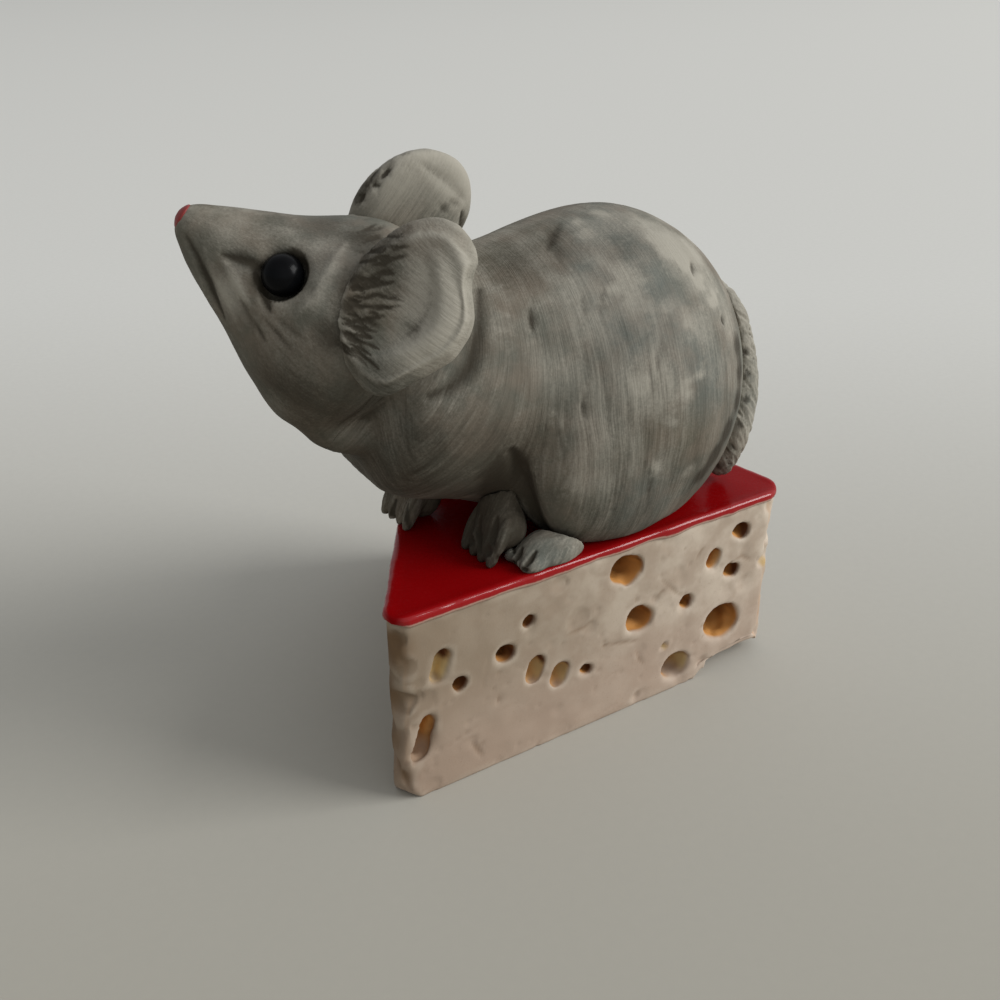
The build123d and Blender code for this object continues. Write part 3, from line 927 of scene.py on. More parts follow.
sockets = open_socket(clay, LEFT_EYE) + open_socket(clay, RIGHT_EYE)
print("darkest socket spot:", sockets.max().round(2))

# %% [markdown]
# Every needle line is a path of pixels, then its half width and depth in mm and
# how much dark paint it holds. A negative depth raises a ridge, and negative
# paint is pale. The face's lines are pressed into both cheeks.

# %% Needle lines of the face
FACE_LINES = [
    ([(186, 236), (196, 256), (209, 284), (224, 318)], 0.56, 0.24, 0.8),
    ([(182, 258), (193, 282), (206, 304), (215, 318)], 0.34, 0.26, 0.8),
    ([(222, 254), (236, 258), (250, 262), (266, 270)], 0.62, 0.34, 0.75),
    ([(262, 296), (266, 303), (270, 311)], 0.42, 0.30, 0.7),
    ([(250, 318), (258, 330), (266, 342)], 0.34, 0.12, 0.22),
    ([(262, 316), (276, 332), (290, 348)], 0.32, 0.12, 0.20),
    ([(276, 318), (290, 328), (306, 342)], 0.32, 0.10, 0.15),
    ([(240, 300), (248, 316), (254, 334)], 0.36, 0.12, 0.22),
    ([(316, 292), (330, 272), (346, 244)], 0.70, -0.22, -0.6),
    ([(224, 262), (236, 282), (250, 306)], 0.60, -0.18, -0.6),
    ([(296, 316), (316, 300), (330, 282)], 0.60, -0.14, -0.4),
    ([(205, 250), (222, 290), (240, 330)], 0.60, -0.14, -0.3),
]
face_dark = np.zeros(len(clay.vertices))
face_pale = np.zeros(len(clay.vertices))
for pixels, width, depth, paint in FACE_LINES:
    places = seen_at(surface, *pixels)
    for path in (places, other_side(places)):
        mark = press(clay, path, width, depth)
        if paint > 0:
            face_dark = np.maximum(face_dark, mark * paint)
        else:
            face_pale = np.maximum(face_pale, mark * -paint)
print("face lines:", 2 * len(FACE_LINES))

# %% [markdown]
# ## Creases and dents of the body
# A deep crease runs in front of the thigh, where the belly meets it. The back
# and flank have a few short dents that the modeller left with a fingernail.
# The dark paint in the crease, and in the long groove behind the near ear, is
# painted shade.

# %% Body lines
BODY_LINES = [
    ([(512, 452), (520, 474), (528, 500), (538, 522), (552, 538)], 0.95, 0.70, 0.9),
    ([(548, 250), (552, 238), (559, 224)], 0.70, 0.16, 0.40),
    ([(561, 262), (556, 250), (551, 240)], 0.60, 0.10, 0.20),
    ([(531, 308), (533, 332)], 0.50, 0.18, 0.55),
    ([(583, 294), (584, 318)], 0.50, 0.10, 0.30),
    ([(604, 290), (600, 316)], 0.50, 0.10, 0.30),
    ([(661, 340), (658, 372)], 0.50, 0.10, 0.30),
    ([(646, 462), (650, 494), (644, 514)], 0.60, 0.10, 0.25),
    ([(584, 396), (586, 420)], 0.40, 0.14, 0.3),
    ([(430, 397), (450, 389), (472, 366), (480, 330), (480, 290)], 1.10, 0.45, 0.55),
    ([(692, 262), (694, 276)], 0.45, 0.20, 0.4),
    ([(722, 314), (725, 326)], 0.40, 0.24, 0.4),
]
body_dark = np.zeros(len(clay.vertices))
for pixels, width, depth, paint in BODY_LINES:
    mark = press(clay, seen_at(surface, *pixels), width, depth)
    body_dark = np.maximum(body_dark, mark * paint)
print("body lines:", len(BODY_LINES))

# %% [markdown]
# ## Which way the coat runs
# On the flanks the strokes hang down round the body, on the chest they slant
# forwards, on the rump they run down the back, and on the head they run back
# from the nose. The direction is stored as `flow` for the needle, and the
# matching `comb` for the paint.

# %% Flow and comb
def comb_body(mesh):
    """Keep flow and combs on the skin; returns where the head's coat runs."""
    points, normals = points_of(mesh), normals_of(mesh)
    x, y, z = points.T
    slant = 0.62 * ramp(x, -2, -16) - 0.10 * ramp(x, 4, 20)
    across = x * np.cos(slant) - (z - 34) * np.sin(slant)
    end_on = ramp(np.abs(normals[:, 0]), 0.5, 0.85)
    ahead = (points - SKULL) @ NOSE_WAY
    head_on = ramp(ahead, -5.5, 1.0)
    axis = np.stack([np.cos(slant), 0 * x, -np.sin(slant)], 1)
    axis = axis * (1 - end_on)[:, None] + np.outer(end_on, [0, 1, 0])
    flow = np.cross(normals, axis)
    back = -NOSE_WAY + normals * (normals @ NOSE_WAY)[:, None]
    flow = flow / np.linalg.norm(flow, axis=1)[:, None].clip(1e-6)
    back = back / np.linalg.norm(back, axis=1)[:, None].clip(1e-6)
    flow = flow * np.sign(-flow[:, 2:3] + 1e-6)
    flow = flow * (1 - head_on)[:, None] + back * head_on[:, None]
    store(mesh, "flow", flow, "FLOAT_VECTOR")
    store(mesh, "comb", np.stack([across, 0.06 * y, z], 1), "FLOAT_VECTOR")
    store(mesh, "comb_end", np.stack([0.06 * x, y, z], 1), "FLOAT_VECTOR")
    off = points - SKULL
    head = np.stack([off @ LEFT_WAY, off @ CROWN_WAY, ahead], 1)
    store(mesh, "comb_head", head, "FLOAT_VECTOR")
    store(mesh, "end_on", end_on)
    store(mesh, "head_on", head_on)
    return head_on


head_on = comb_body(clay)
# streaks fade on the back and the head; eyes and snout get no needle strokes
up_facing = ramp(normals_of(clay)[:, 2], 0.25, 0.8)
store(clay, "brushy", 1 - 0.75 * np.maximum(up_facing, 0.75 * head_on))
bald = np.maximum(sockets.clip(0, 1), ramp((points_of(clay) - SKULL) @ NOSE_WAY, 10, 14))
store(clay, "amount", (1 - bald) * (1 - 0.55 * head_on) * (1 - 0.8 * up_facing))
store_all(clay, face_dark=face_dark, face_pale=face_pale, body_dark=body_dark, ring=sockets)
score(skin, coat, per_mm2=0.14, length=7.0, half_width=0.40, depth=0.050, stray=0.12, seed=11)
score(skin, coat, per_mm2=0.70, length=4.2, half_width=0.24, depth=0.040, stray=0.16, seed=12)
clay = skin.data
print("scored skin:", len(clay.polygons), "squares")

# %% [markdown]
# ## Painting the body
# Pale paint on what stands proud, and painted light on upward faces and on the
# upper rump; dark paint in grooves, and painted shade on downward faces, under
# the belly and on the throat. A few soft spots follow the picture; the far side
# gets the same kind of patches from the lumps.

# %% Light, wash and cool
def spots(mesh, surface, marks):
    """Sum of soft round spots, each given as pixel u, v, radius in mm, strength."""
    points = points_of(mesh)
    total = np.zeros(len(points))
    for u, v, radius, strength in marks:
        total += strength * dab(points, seen_at(surface, (u, v))[0], radius)
    return total


# pale paint patches, partly painted light where the lamp falls on the upper rump and haunch
PALE_SPOTS = [
    (690, 262, 6.0, 0.45), (668, 240, 4.5, 0.25), (600, 216, 6.0, 0.20),
    (655, 385, 4.5, 0.35), (560, 375, 3.0, 0.25), (640, 300, 5.0, 0.10),
    (700, 330, 4.0, 0.20), (215, 215, 5.0, 0.12), (250, 225, 6.0, 0.08),
    (300, 240, 5.0, 0.10), (230, 290, 2.5, 0.35), (330, 290, 4.0, 0.25),
    (590, 470, 4.0, 0.12), (668, 470, 3.0, 0.20), (455, 470, 4.0, 0.12),
]
BLOTCHES = [
    (668, 250, 1.8, 0.40), (684, 262, 2.0, 0.45), (700, 280, 1.7, 0.40), (690, 240, 1.6, 0.35),
    (712, 298, 1.6, 0.35), (655, 238, 1.5, 0.30), (585, 234, 1.4, 0.35), (572, 222, 1.7, 0.30),
    (640, 384, 1.5, 0.40), (686, 388, 1.8, 0.40), (700, 372, 1.4, 0.30), (690, 470, 1.3, 0.35),
    (655, 468, 1.5, 0.35), (556, 420, 1.3, 0.30), (605, 296, 1.3, 0.30), (614, 290, 1.1, 0.30),
    (690, 330, 1.4, 0.25), (672, 420, 1.3, 0.25), (600, 214, 1.6, 0.25), (640, 222, 1.6, 0.25),
    (497, 288, 1.3, 0.20), (560, 300, 1.5, 0.20), (478, 470, 1.4, 0.25), (455, 448, 1.4, 0.25),
]
# painted shade on the throat and chest, under the belly and in the groove beside the tail, with
# some dark patches on the back and head
DARK_SPOTS = [
    (400, 415, 7.0, 0.28), (330, 405, 8.0, 0.28), (420, 455, 8.0, 0.18),
    (470, 420, 6.0, 0.25), (508, 474, 4.0, 0.70), (500, 492, 3.0, 0.60), (510, 440, 5.0, 0.20),
    (275, 370, 6.0, 0.30), (620, 520, 8.0, 0.15), (300, 232, 6.0, 0.30), (345, 222, 5.0, 0.30),
    (260, 218, 4.0, 0.15), (540, 256, 7.0, 0.28), (620, 238, 6.0, 0.25), (500, 270, 5.0, 0.25),
    (738, 345, 2.2, 0.7), (740, 372, 2.2, 0.8), (738, 400, 2.2, 0.8), (728, 430, 2.2, 0.8),
    (715, 455, 2.0, 0.8), (702, 474, 1.8, 0.6), (480, 380, 6.0, 0.20),
    (300, 330, 4.0, 0.10), (390, 480, 6.0, 0.25), (540, 430, 4.0, 0.15),
]
COOL_SPOTS = [
    (610, 260, 8.0, 0.6), (650, 330, 8.0, 0.6), (600, 430, 8.0, 0.4),
    (640, 500, 8.0, 0.5), (705, 380, 6.0, 0.6), (230, 300, 3.0, 0.5),
    (380, 420, 5.0, 0.4), (330, 260, 4.0, 0.3), (240, 262, 2.0, 0.6),
]


def paint_body(mesh, surface):
    """Keep the light, dark and cool masks: painted light and shade from slope, paint from bumps,
    patches, lines and spots, and painted shade from some spots.
    """
    points, normals = points_of(mesh), normals_of(mesh)
    proud = relief(mesh, 10)
    up = normals[:, 2]
    patches = lumps(points, 5.5, 21) + 0.5 * lumps(points, 2.4, 22)
    mottle = 0.20 * lumps(points, 1.5, 23) * ramp(up, 0.1, 0.7)
    # painted light: upward faces are paler; pale paint on ridges and in patches
    light = 0.25 + 0.12 * up + 0.24 * patches + mottle + 0.18 * ramp(proud, 0.0, 0.07)
    broken = (1 + 1.1 * lumps(points, 0.8, 24)).clip(0, None)
    picked = spots(mesh, surface, PALE_SPOTS) + spots(mesh, surface, BLOTCHES) * broken
    light += picked + 0.5 * values_of(mesh, "face_pale")
    light += 0.14 * values_of(mesh, "tone_sum")
    # painted shade: downward faces are darker, and so are the shaded spots; dark paint in hollows
    # and lines
    wash = 0.10 + 0.34 * ramp(up, 0.1, -0.7) + 0.16 * lumps(points, 7.0, 31)
    wash += 0.36 * ramp(-proud, 0.0, 0.09) + spots(mesh, surface, DARK_SPOTS)
    wash += 1.2 * values_of(mesh, "groove_sum") + values_of(mesh, "body_dark")
    wash += values_of(mesh, "face_dark") + values_of(mesh, "ring")
    cool = 0.35 + 0.5 * lumps(points, 9.0, 41) + spots(mesh, surface, COOL_SPOTS)
    store_masks(mesh, light=light, wash=wash, cool=cool)
    return light, wash


light, wash = paint_body(clay, surface)
print("light", light.mean().round(2), "wash", wash.mean().round(2))

# %% [markdown]
# ## Handing a piece over
# Every finished piece gets one material and smooth shading. It is put on the
# body that it rides on, and the CAD nodes that it stands for are hidden.

# %% Last step of every piece
def hand_over(piece, slot, paint, *nodes):
    """Give a piece its material, smooth shading and body, and hide its CAD nodes; slot is not used.
    """
    mesh = piece.data
    mesh.materials.clear()
    mesh.materials.append(paint)
    for polygon in mesh.polygons:
        polygon.use_smooth = True
    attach(piece, "root")
    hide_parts(*nodes)
    print(piece.name, len(mesh.polygons), "faces")


# %% [markdown]
# ## Cutting the head off again
# The head is its own lump of clay, so the skin is split by a flat cut through
# the neck and both halves are closed there. Everything was scored and painted
# first, so the marks run on across the join.

# %% Split at the neck
def cut_off(source, name, point, normal, *nodes):
    """One side of a flat cut through a skin, closed there and handed over."""
    mesh = source.data.copy()
    mesh.name = name
    bm = bmesh.new()
    bm.from_mesh(mesh)
    cut = bmesh.ops.bisect_plane(
        bm, geom=bm.verts[:] + bm.edges[:] + bm.faces[:], dist=1e-7,
        plane_co=Vector(point) * MM, plane_no=Vector(normal), clear_outer=True,
    )
    rim = [e for e in cut["geom_cut"] if isinstance(e, bmesh.types.BMEdge)]
    bmesh.ops.holes_fill(bm, edges=rim, sides=0)
    bm.to_mesh(mesh)
    bm.free()
    piece = new_object(name, mesh)
    hand_over(piece, "fur", coat, *nodes)
    return piece


NECK = SKULL - 5 * NOSE_WAY
head_skin = cut_off(skin, "head_skin", NECK, -NOSE_WAY, "head")
cut_off(skin, "torso_skin", NECK, NOSE_WAY, "torso", "left_haunch", "right_haunch")
bpy.data.objects.remove(skin)


# %% [markdown]
# ## Smaller clay pieces
# Ears, paws, feet and tail go through the same steps: copy the CAD solid, give
# it an even skin, wipe it soft, refine it, and press a few lumps in. Then each
# piece gets its own marks and its own paint spots.

# %% One small clay piece
def clay_piece(name, node, voxel, wipes, bumps, seed, finer=True):
    piece = clay_copy(name, node)
    remesh(piece, voxel)
    soften(piece.data, wipes)
    if finer:
        refine(piece)
    points = points_of(piece.data)
    noise_mm = bumps * (lumps(points, 2.6, seed) + 0.4 * lumps(points, 0.9, seed + 1))
    put_points(piece.data, points + normals_of(piece.data) * noise_mm[:, None])
    return piece


def comb_along(mesh, along, across):
    """Comb and flow of a piece whose strokes all run one way."""
    points, normals = points_of(mesh), normals_of(mesh)
    along = np.asarray(along) / np.linalg.norm(along)
    across = np.asarray(across) - along * (np.asarray(across) @ along)
    across = across / np.linalg.norm(across)
    third = np.cross(along, across)
    comb = np.stack([points @ across, 0.4 * (points @ third), points @ along], 1)
    flow = along - normals * (normals @ along)[:, None]
    store(mesh, "comb", comb, "FLOAT_VECTOR")
    store(mesh, "flow", flow, "FLOAT_VECTOR")
    store(mesh, "amount", np.ones(len(points)))
    store(mesh, "brushy", np.ones(len(points)))


def paint_small(mesh, light, wash, cool, seed, marks, pale=0.0, hollow=0.06):
    """Dry-brush a small piece: pale on its ridges, dark in its hollows, with painted light on
    upward faces and painted shade on downward ones.
    """
    points, up = points_of(mesh), normals_of(mesh)[:, 2]
    proud = relief(mesh, 12)
    patches = lumps(points, 3.2, seed)
    # painted light on upward faces and painted shade on downward faces
    lit = light + 0.14 * up + 0.16 * patches + 0.35 * ramp(proud, 0.0, hollow) + pale
    dark = wash + 0.22 * ramp(up, 0.1, -0.7) + 0.7 * ramp(-proud, 0.0, hollow) + marks
    if "groove_sum" in mesh.attributes:
        lit += 0.2 * values_of(mesh, "tone_sum")
        dark += 2.5 * values_of(mesh, "groove_sum")
    store_masks(mesh, light=lit, wash=dark, cool=cool + 0.4 * lumps(points, 4.0, seed + 1))


# %% [markdown]
# ## Ears
# An ear is a pad of clay, dished a little and pressed on the side of the head.
# Its front edge is wiped into the cheek, and from that join the modeller drew a
# fan of strokes with a fine dark brush and a needle. The same fan, turned
# round, goes on the far ear.

# %% Ear forms
EAR_RISE, EAR_REACH = 7.0, 5.2  # half height and half width of the dish, in mm


def ear_form(name, node, side, place, facing, wider, taller, seed):
    """Fill most of the dish, sink the front edge into the cheek, widen the pad."""
    piece = clay_piece(name, node, voxel=0.30, wipes=4, bumps=0.07, seed=seed)
    mesh = piece.data
    points, normals = points_of(mesh), normals_of(mesh)
    facing = facing / np.linalg.norm(facing)
    rise = CROWN_WAY - facing * (CROWN_WAY @ facing)
    rise = rise / np.linalg.norm(rise)
    ahead = np.cross(rise, facing) * side
    ahead = ahead * np.sign(ahead @ NOSE_WAY)
    off = points - place
    height, up, fore = off @ facing, off @ rise, off @ ahead
    outwards = np.sqrt((up / EAR_RISE) ** 2 + (fore / EAR_REACH) ** 2)  # 1 at the rim
    rim = np.percentile(height[(outwards > 0.7) & (outwards < 0.95)], 96)
    front = (normals @ facing > -0.2) & (outwards < 0.9) & (height > rim - 3.4)
    full = rim + 0.1 - 0.35 * (1 - (outwards / 0.9) ** 2).clip(0, 1)
    lift = np.where(front & (height < full), full - height, 0)
    near_ear = side > 0
    sunk = 1.2 * ramp(fore, 1.2, 5.6) if near_ear else 0.7 * ramp(fore, 1.2, 4.6)
    points += facing * (lift - sunk)[:, None]
    points += ahead * (wider * ramp(fore, 0, 5) + 1.5 * near_ear * ramp(-fore, 1, 5))[:, None]
    points += rise * (taller * ramp(up, 2, 7))[:, None]
    put_points(mesh, points)
    soften(mesh, 14)
    return piece


LEFT_EAR = SKULL + 8.7 * LEFT_WAY + 7.1 * CROWN_WAY - 3.6 * NOSE_WAY
RIGHT_EAR = SKULL - 8.6 * LEFT_WAY + 9.4 * CROWN_WAY - 1.3 * NOSE_WAY
left_facing = 0.88 * LEFT_WAY + 0.35 * NOSE_WAY + 0.30 * CROWN_WAY
right_facing = -0.88 * LEFT_WAY + 0.35 * NOSE_WAY
left_ear = ear_form(
    "left_ear_skin", "left_ear", 1, LEFT_EAR, left_facing, wider=1.5, taller=1.4, seed=51
)
right_ear = ear_form(
    "right_ear_skin", "right_ear", -1, RIGHT_EAR, right_facing, wider=1.1, taller=0.0, seed=53
)

EAR_PUSHES = [
    (482, 262, 5.0, -1.1, -0.1), (458, 345, 5.5, 1.0, -0.5), (405, 388, 4.0, 0.2, -0.3),
]
nudge(left_ear.data, surface_of(left_ear.data), EAR_PUSHES)
print("near ear:", len(left_ear.data.vertices), "points")

# %% A fan of strokes from the root of the ear
EAR_ROOT = [(356, 226), (352, 270), (345, 305), (338, 328), (336, 344)]
THIN_STROKES = 64
BOLD_STARTS = [(358, 232), (361, 242), (355, 254), (352, 290), (342, 324)]
fan = np.random.default_rng(8)


def along_root(share):
    """Pixel a share of the way down the root line."""
    at = share * (len(EAR_ROOT) - 1)
    i = min(int(at), len(EAR_ROOT) - 2)
    a, b = np.array(EAR_ROOT[i], float), np.array(EAR_ROOT[i + 1], float)
    return a + (b - a) * (at - i)


def ear_strokes():
    """Picture paths of the fan: from the root line back over the ear."""
    paths = []
    for i in range(THIN_STROKES):
        share = (i + fan.random()) / THIN_STROKES
        tilt = -0.30 + 0.95 * share + fan.normal(0, 0.12)
        way = np.array([np.cos(tilt), np.sin(tilt)])
        back = 40 * fan.random() ** 1.4 * (1.0 - 0.3 * share)
        start = along_root(share) + fan.normal(0, 1.5, 2) + way * back
        step = way * (12 + 16 * fan.random())
        bend = np.array([0, 1.5 * fan.normal()])
        path = [tuple(start), tuple(start + step * 0.5 + bend), tuple(start + step)]
        paths.append((path, 1.0 - back / 60))
    for pixel in BOLD_STARTS:
        start = np.array(pixel, float)
        paths.append(([tuple(start), tuple(start + (20, -4)), tuple(start + (42, -8))], 1.2))
    return paths


both = surface_of(left_ear.data, head_skin.data)
root_lines = [(seen_at(both, *path), force) for path, force in ear_strokes()]
dark = np.zeros(len(left_ear.data.vertices))
head_dark = np.zeros(len(head_skin.data.vertices))
for line, force in root_lines:
    depth = (0.05 + 0.10 * fan.random()) * force
    strength = (0.35 + 0.55 * fan.random()) * force
    dark = np.maximum(dark, press(left_ear.data, line, 0.17, depth) * strength)
    head_dark = np.maximum(head_dark, press(head_skin.data, line, 0.17, depth) * strength)
print("ear strokes:", len(root_lines))

# %% Paint of the near ear: pale dish, dark root strokes, painted shade at root and foot
NEAR_EAR_PALE = [
    (440, 300, 5.0, 0.35), (455, 350, 4.0, 0.35), (425, 345, 4.0, 0.3), (430, 255, 4.0, 0.2),
    (468, 270, 3.0, 0.2), (412, 372, 3.5, 0.25),
]
NEAR_EAR_SHADE = [
    (360, 240, 1.6, 0.6), (356, 262, 1.4, 0.35), (354, 280, 1.2, 0.6), (348, 306, 1.3, 0.6),
    (338, 330, 1.3, 0.5),
    (384, 244, 3.4, 0.22), (360, 365, 4.5, 0.30), (385, 390, 4.0, 0.22), (415, 326, 1.6, 0.3),
    (382, 262, 4.2, 0.30), (378, 292, 4.0, 0.28), (366, 325, 3.4, 0.26), (400, 232, 3.0, 0.24),
]
mesh = left_ear.data
near = surface_of(mesh)
comb_along(mesh, -NOSE_WAY, CROWN_WAY)
pale = spots(mesh, near, NEAR_EAR_PALE)
shade = spots(mesh, near, NEAR_EAR_SHADE)
paint_small(
    mesh, light=0.34, wash=0.06, cool=0.40, seed=61, marks=1.5 * dark + shade,
    pale=pale - 0.3 * shade.clip(0, 1),
)
hand_over(left_ear, "fur", coat, "left_ear")

# %% Marks and paint of the far ear
FAR_EAR_MARKS = [
    ([(422, 164), (444, 180), (464, 200)], 0.60, 0.14),
    ([(440, 206), (448, 213)], 0.60, 0.12),
    ([(450, 200), (458, 206)], 0.55, 0.10),
    ([(360, 196), (364, 200)], 0.6, 0.22),
    ([(372, 182), (376, 186)], 0.6, 0.22),
    ([(384, 170), (388, 175)], 0.6, 0.22),
    ([(462, 212), (466, 240)], 0.45, 0.25),
]
FAR_EAR_EDGE = [
    (357, 198, 1.2, 0.7), (365, 186, 1.2, 0.7), (376, 174, 1.2, 0.6), (389, 163, 1.0, 0.5),
    (403, 154, 1.0, 0.4), (468, 225, 2.2, 0.3), (425, 228, 3.0, 0.25),
]
FAR_EAR_PALE = [(400, 185, 4.0, 0.2), (445, 165, 4.0, 0.25), (462, 190, 3.0, 0.3)]
mesh = right_ear.data
far = surface_of(mesh)
dark = np.zeros(len(mesh.vertices))
for pixels, width, depth in FAR_EAR_MARKS:
    dark = np.maximum(dark, 0.35 * press(mesh, seen_at(far, *pixels), width, depth))
shift = RIGHT_EAR - SKULL - (other_side([LEFT_EAR])[0] - SKULL)
for line, force in root_lines:
    moved = [np.array(far.find_nearest(Vector(q + shift))[0]) for q in other_side(line)]
    dark = np.maximum(dark, press(mesh, moved, 0.20, 0.06) * 0.3 * force)
edge = spots(mesh, far, FAR_EAR_EDGE)
pale = spots(mesh, far, FAR_EAR_PALE)
comb_along(mesh, CROWN_WAY, NOSE_WAY)
paint_small(
    mesh, light=0.72, wash=0.0, cool=0.60, seed=63, marks=0.7 * dark + edge, pale=pale
)
hand_over(right_ear, "fur", coat, "right_ear")

# %% Dark root of the near ear on the head
ROOT_SHADE = [
    (362, 240, 2.6, 0.5), (352, 275, 2.2, 0.4), (346, 300, 2.2, 0.5), (332, 335, 2.6, 0.5),
    (385, 236, 3.0, 0.3),
]
mesh = head_skin.data
# the ear root's brush strokes, and painted shade at the root, go on the head
wash = values_of(mesh, "wash") + 0.8 * head_dark + spots(mesh, both, ROOT_SHADE)
store_masks(mesh, wash=wash)
print("head's wash:", wash.mean().round(2))

# %% [markdown]
# ## Tail
# The tail is one roll laid down the rump, scored with slanting strokes so that
# it looks like rope. Its middle line is found by slicing the CAD solid from top
# to bottom, and the strokes wind round that line.

# %% Tail
# painted shade along the tail's inner edge, in the groove against the rump
INNER_EDGE = [
    (741, 335, 0.8, 0.4), (745, 352, 0.8, 0.6), (747, 375, 0.8, 0.6), (746, 400, 0.8, 0.6),
    (740, 425, 0.8, 0.6), (729, 448, 0.9, 0.6), (719, 466, 0.9, 0.6),
]
SLICES = 11
tail = clay_piece("tail_skin", "tail", voxel=0.26, wipes=6, bumps=0.08, seed=71)
mesh = tail.data
points = points_of(mesh)
levels = np.linspace(points[:, 2].min(), points[:, 2].max(), SLICES + 1)
middle = np.array([
    points[(points[:, 2] >= a) & (points[:, 2] <= b)].mean(0)
    for a, b in zip(levels[:-1], levels[1:])
])
ways = np.gradient(middle, axis=0)
nearest = np.abs(points[:, None, 2] - middle[None, :, 2]).argmin(1)
tangent = ways[nearest] / np.linalg.norm(ways[nearest], axis=1)[:, None]
round_it = np.cross(normals_of(mesh), tangent)
comb_along(mesh, (0, 0.4, 1), (1, 0, 0))
twist = tangent * 0.75 + round_it * 0.75
store(mesh, "flow", twist, "FLOAT_VECTOR")
score(tail, coat, per_mm2=0.8, length=3.4, half_width=0.40, depth=0.16, stray=0.16, seed=72)
score(tail, coat, per_mm2=2.2, length=2.0, half_width=0.20, depth=0.06, stray=0.30, seed=73)
mesh = tail.data
inner = spots(mesh, surface_of(mesh), INNER_EDGE)
marks = inner * (1 + 0.5 * lumps(points_of(mesh), 0.9, 75)) - 1.6 * values_of(mesh, "groove_sum")
paint_small(
    mesh, light=0.62, wash=0.0, cool=0.6, seed=74, marks=marks, pale=-0.4 * inner, hollow=0.09
)
hand_over(tail, "fur", coat, "tail")

# %% [markdown]
# ## Paws and feet
# Short rolls with toes pinched out, and grooves between the toes drawn with a
# needle. They are greyer than the coat, and darker: the front paws sit in the
# belly's shadow, which is painted on them as shade.

# %% Paws and feet
paw_paint = coat_paint("brushed_paw", 1.2, 1.3)
LIMBS = [  # node, slot, seed, then how much light, wash and cool paint it gets; the front paws' wash is mostly painted shade from the belly
    ("left_front_paw", "paw", 81, 0.04, 0.78, 0.2),
    ("right_front_paw", "paw", 83, 0.16, 0.40, 0.0),
    ("left_hind_foot", "paw", 85, 0.28, 0.14, 0.9),
    ("right_hind_foot", "paw", 87, 0.42, 0.05, 0.9),
]
TOE_LINES = {
    "left_front_paw": [
        [(481, 516), (478, 532), (480, 552)], [(497, 518), (493, 538), (497, 560)],
    ],
    "left_hind_foot": [
        [(508, 520), (510, 536), (514, 552)], [(522, 548), (516, 558), (512, 568)],
        [(536, 552), (528, 562), (524, 572)],
    ],
    "right_front_paw": [[(396, 500), (392, 514), (394, 526)], [(408, 504), (406, 516), (410, 528)]],
}
CLAWS = {  # small dark pits at the tips of the toes
    "left_front_paw": [(471, 541), (488, 551), (503, 557)],
    "left_hind_foot": [(512, 566), (524, 571)],
}
HIND_FOOT_SHARE = 0.86  # the hind feet end up a little shorter than their solids
for node, slot, seed, light, wash, cool in LIMBS:
    limb = clay_piece(node + "_skin", node, voxel=0.24, wipes=4, bumps=0.07, seed=seed)
    mesh = limb.data
    if "hind" in node:
        points = points_of(mesh)
        front = points[:, 0].min()
        points[:, 0] = front + (points[:, 0] - front) * HIND_FOOT_SHARE
        put_points(mesh, points)
        soften(mesh, 4)
    comb_along(mesh, (-0.5, 0, -0.8), (0, 1, 0))
    there = surface_of(mesh)
    dark = np.zeros(len(mesh.vertices))
    groove = 0.16 if node == "right_front_paw" else 0.42
    for pixels in TOE_LINES.get(node, []):
        dark = np.maximum(dark, press(mesh, seen_at(there, *pixels), 0.36, groove))
    for pixel in CLAWS.get(node, []):
        hole = dab(points_of(mesh), seen_at(there, pixel)[0], 0.75)
        put_points(mesh, points_of(mesh) - normals_of(mesh) * (0.3 * hole)[:, None])
        dark = np.maximum(dark, 1.2 * hole)
    score(
        limb, paw_paint, per_mm2=1.6, length=2.2, half_width=0.22, depth=0.03, stray=0.30,
        seed=seed + 1,
    )
    paint_small(limb.data, light, wash, cool, seed, marks=0.8 * dark, hollow=0.05)
    hand_over(limb, slot, paw_paint, node)


# %% [markdown]
# ## The cheese
# The cheese is cream clay cut with a knife, so its faces are nearly flat, but
# its edges are chipped and its nose is broken. The holes were pushed in and
# painted inside, ochre at the mouth and brown at the bottom, with painted shade
# under their roofs. Small pits and scratches repeat all over the faces, so a
# second Geometry Nodes tree makes the pits, and the needle tree makes the
# scratches.

# %% The pit tree
def pit_tree():
    tree, given, scatter = clay_tree(
        "small_pits", "Pits per square mm",
        Least_radius_mm=0.15, Most_radius_mm=0.5, Depth_mm=0.15,
    )
    size = add_node(tree, "FunctionNodeRandomValue", data_type="FLOAT")
    least = maths(tree, "MULTIPLY", given["Least radius mm"], MM)
    most = maths(tree, "MULTIPLY", given["Most radius mm"], MM)
    plug(tree, size, n2=least, n3=most, Seed=given["Seed"])
    middles = keep(tree, scatter["Points"], "pit_radius", size.outputs[1])
    near = add_node(tree, "GeometryNodeProximity", target_element="POINTS")
    tree.links.new(middles, near.inputs[0])
    radius = of_nearest(tree, middles, "pit_radius")
    share = maths(tree, "DIVIDE", near.outputs["Distance"], radius)
    bowl = smooth_step(tree, share, 0.1, 1.0, 1.0, 0.0)
    dip = maths(tree, "MULTIPLY", bowl, named(tree, "amount"))
    sink(tree, given, keep(tree, given["Geometry"], "pit", dip), dip)
    return tree


def pit(obj, paint, per_mm2, least, most, depth, seed):
    """Press pits of random sizes into a piece."""
    run_tree(obj, pits, {
        "Pits per square mm": per_mm2, "Least radius mm": least, "Most radius mm": most,
        "Depth mm": depth, "Seed": seed, "Paint": paint,
    })


pits = pit_tree()
print("pit tree:", len(pits.nodes), "nodes")

# %% How deep a place lies under the cut faces
APEX = np.array([-25.06, -13.46])  # the wedge's nose
WHEEL, TURN, TOP = 50.8, np.radians(56.5), 20.6  # wheel's radius, wedge's angle, its top


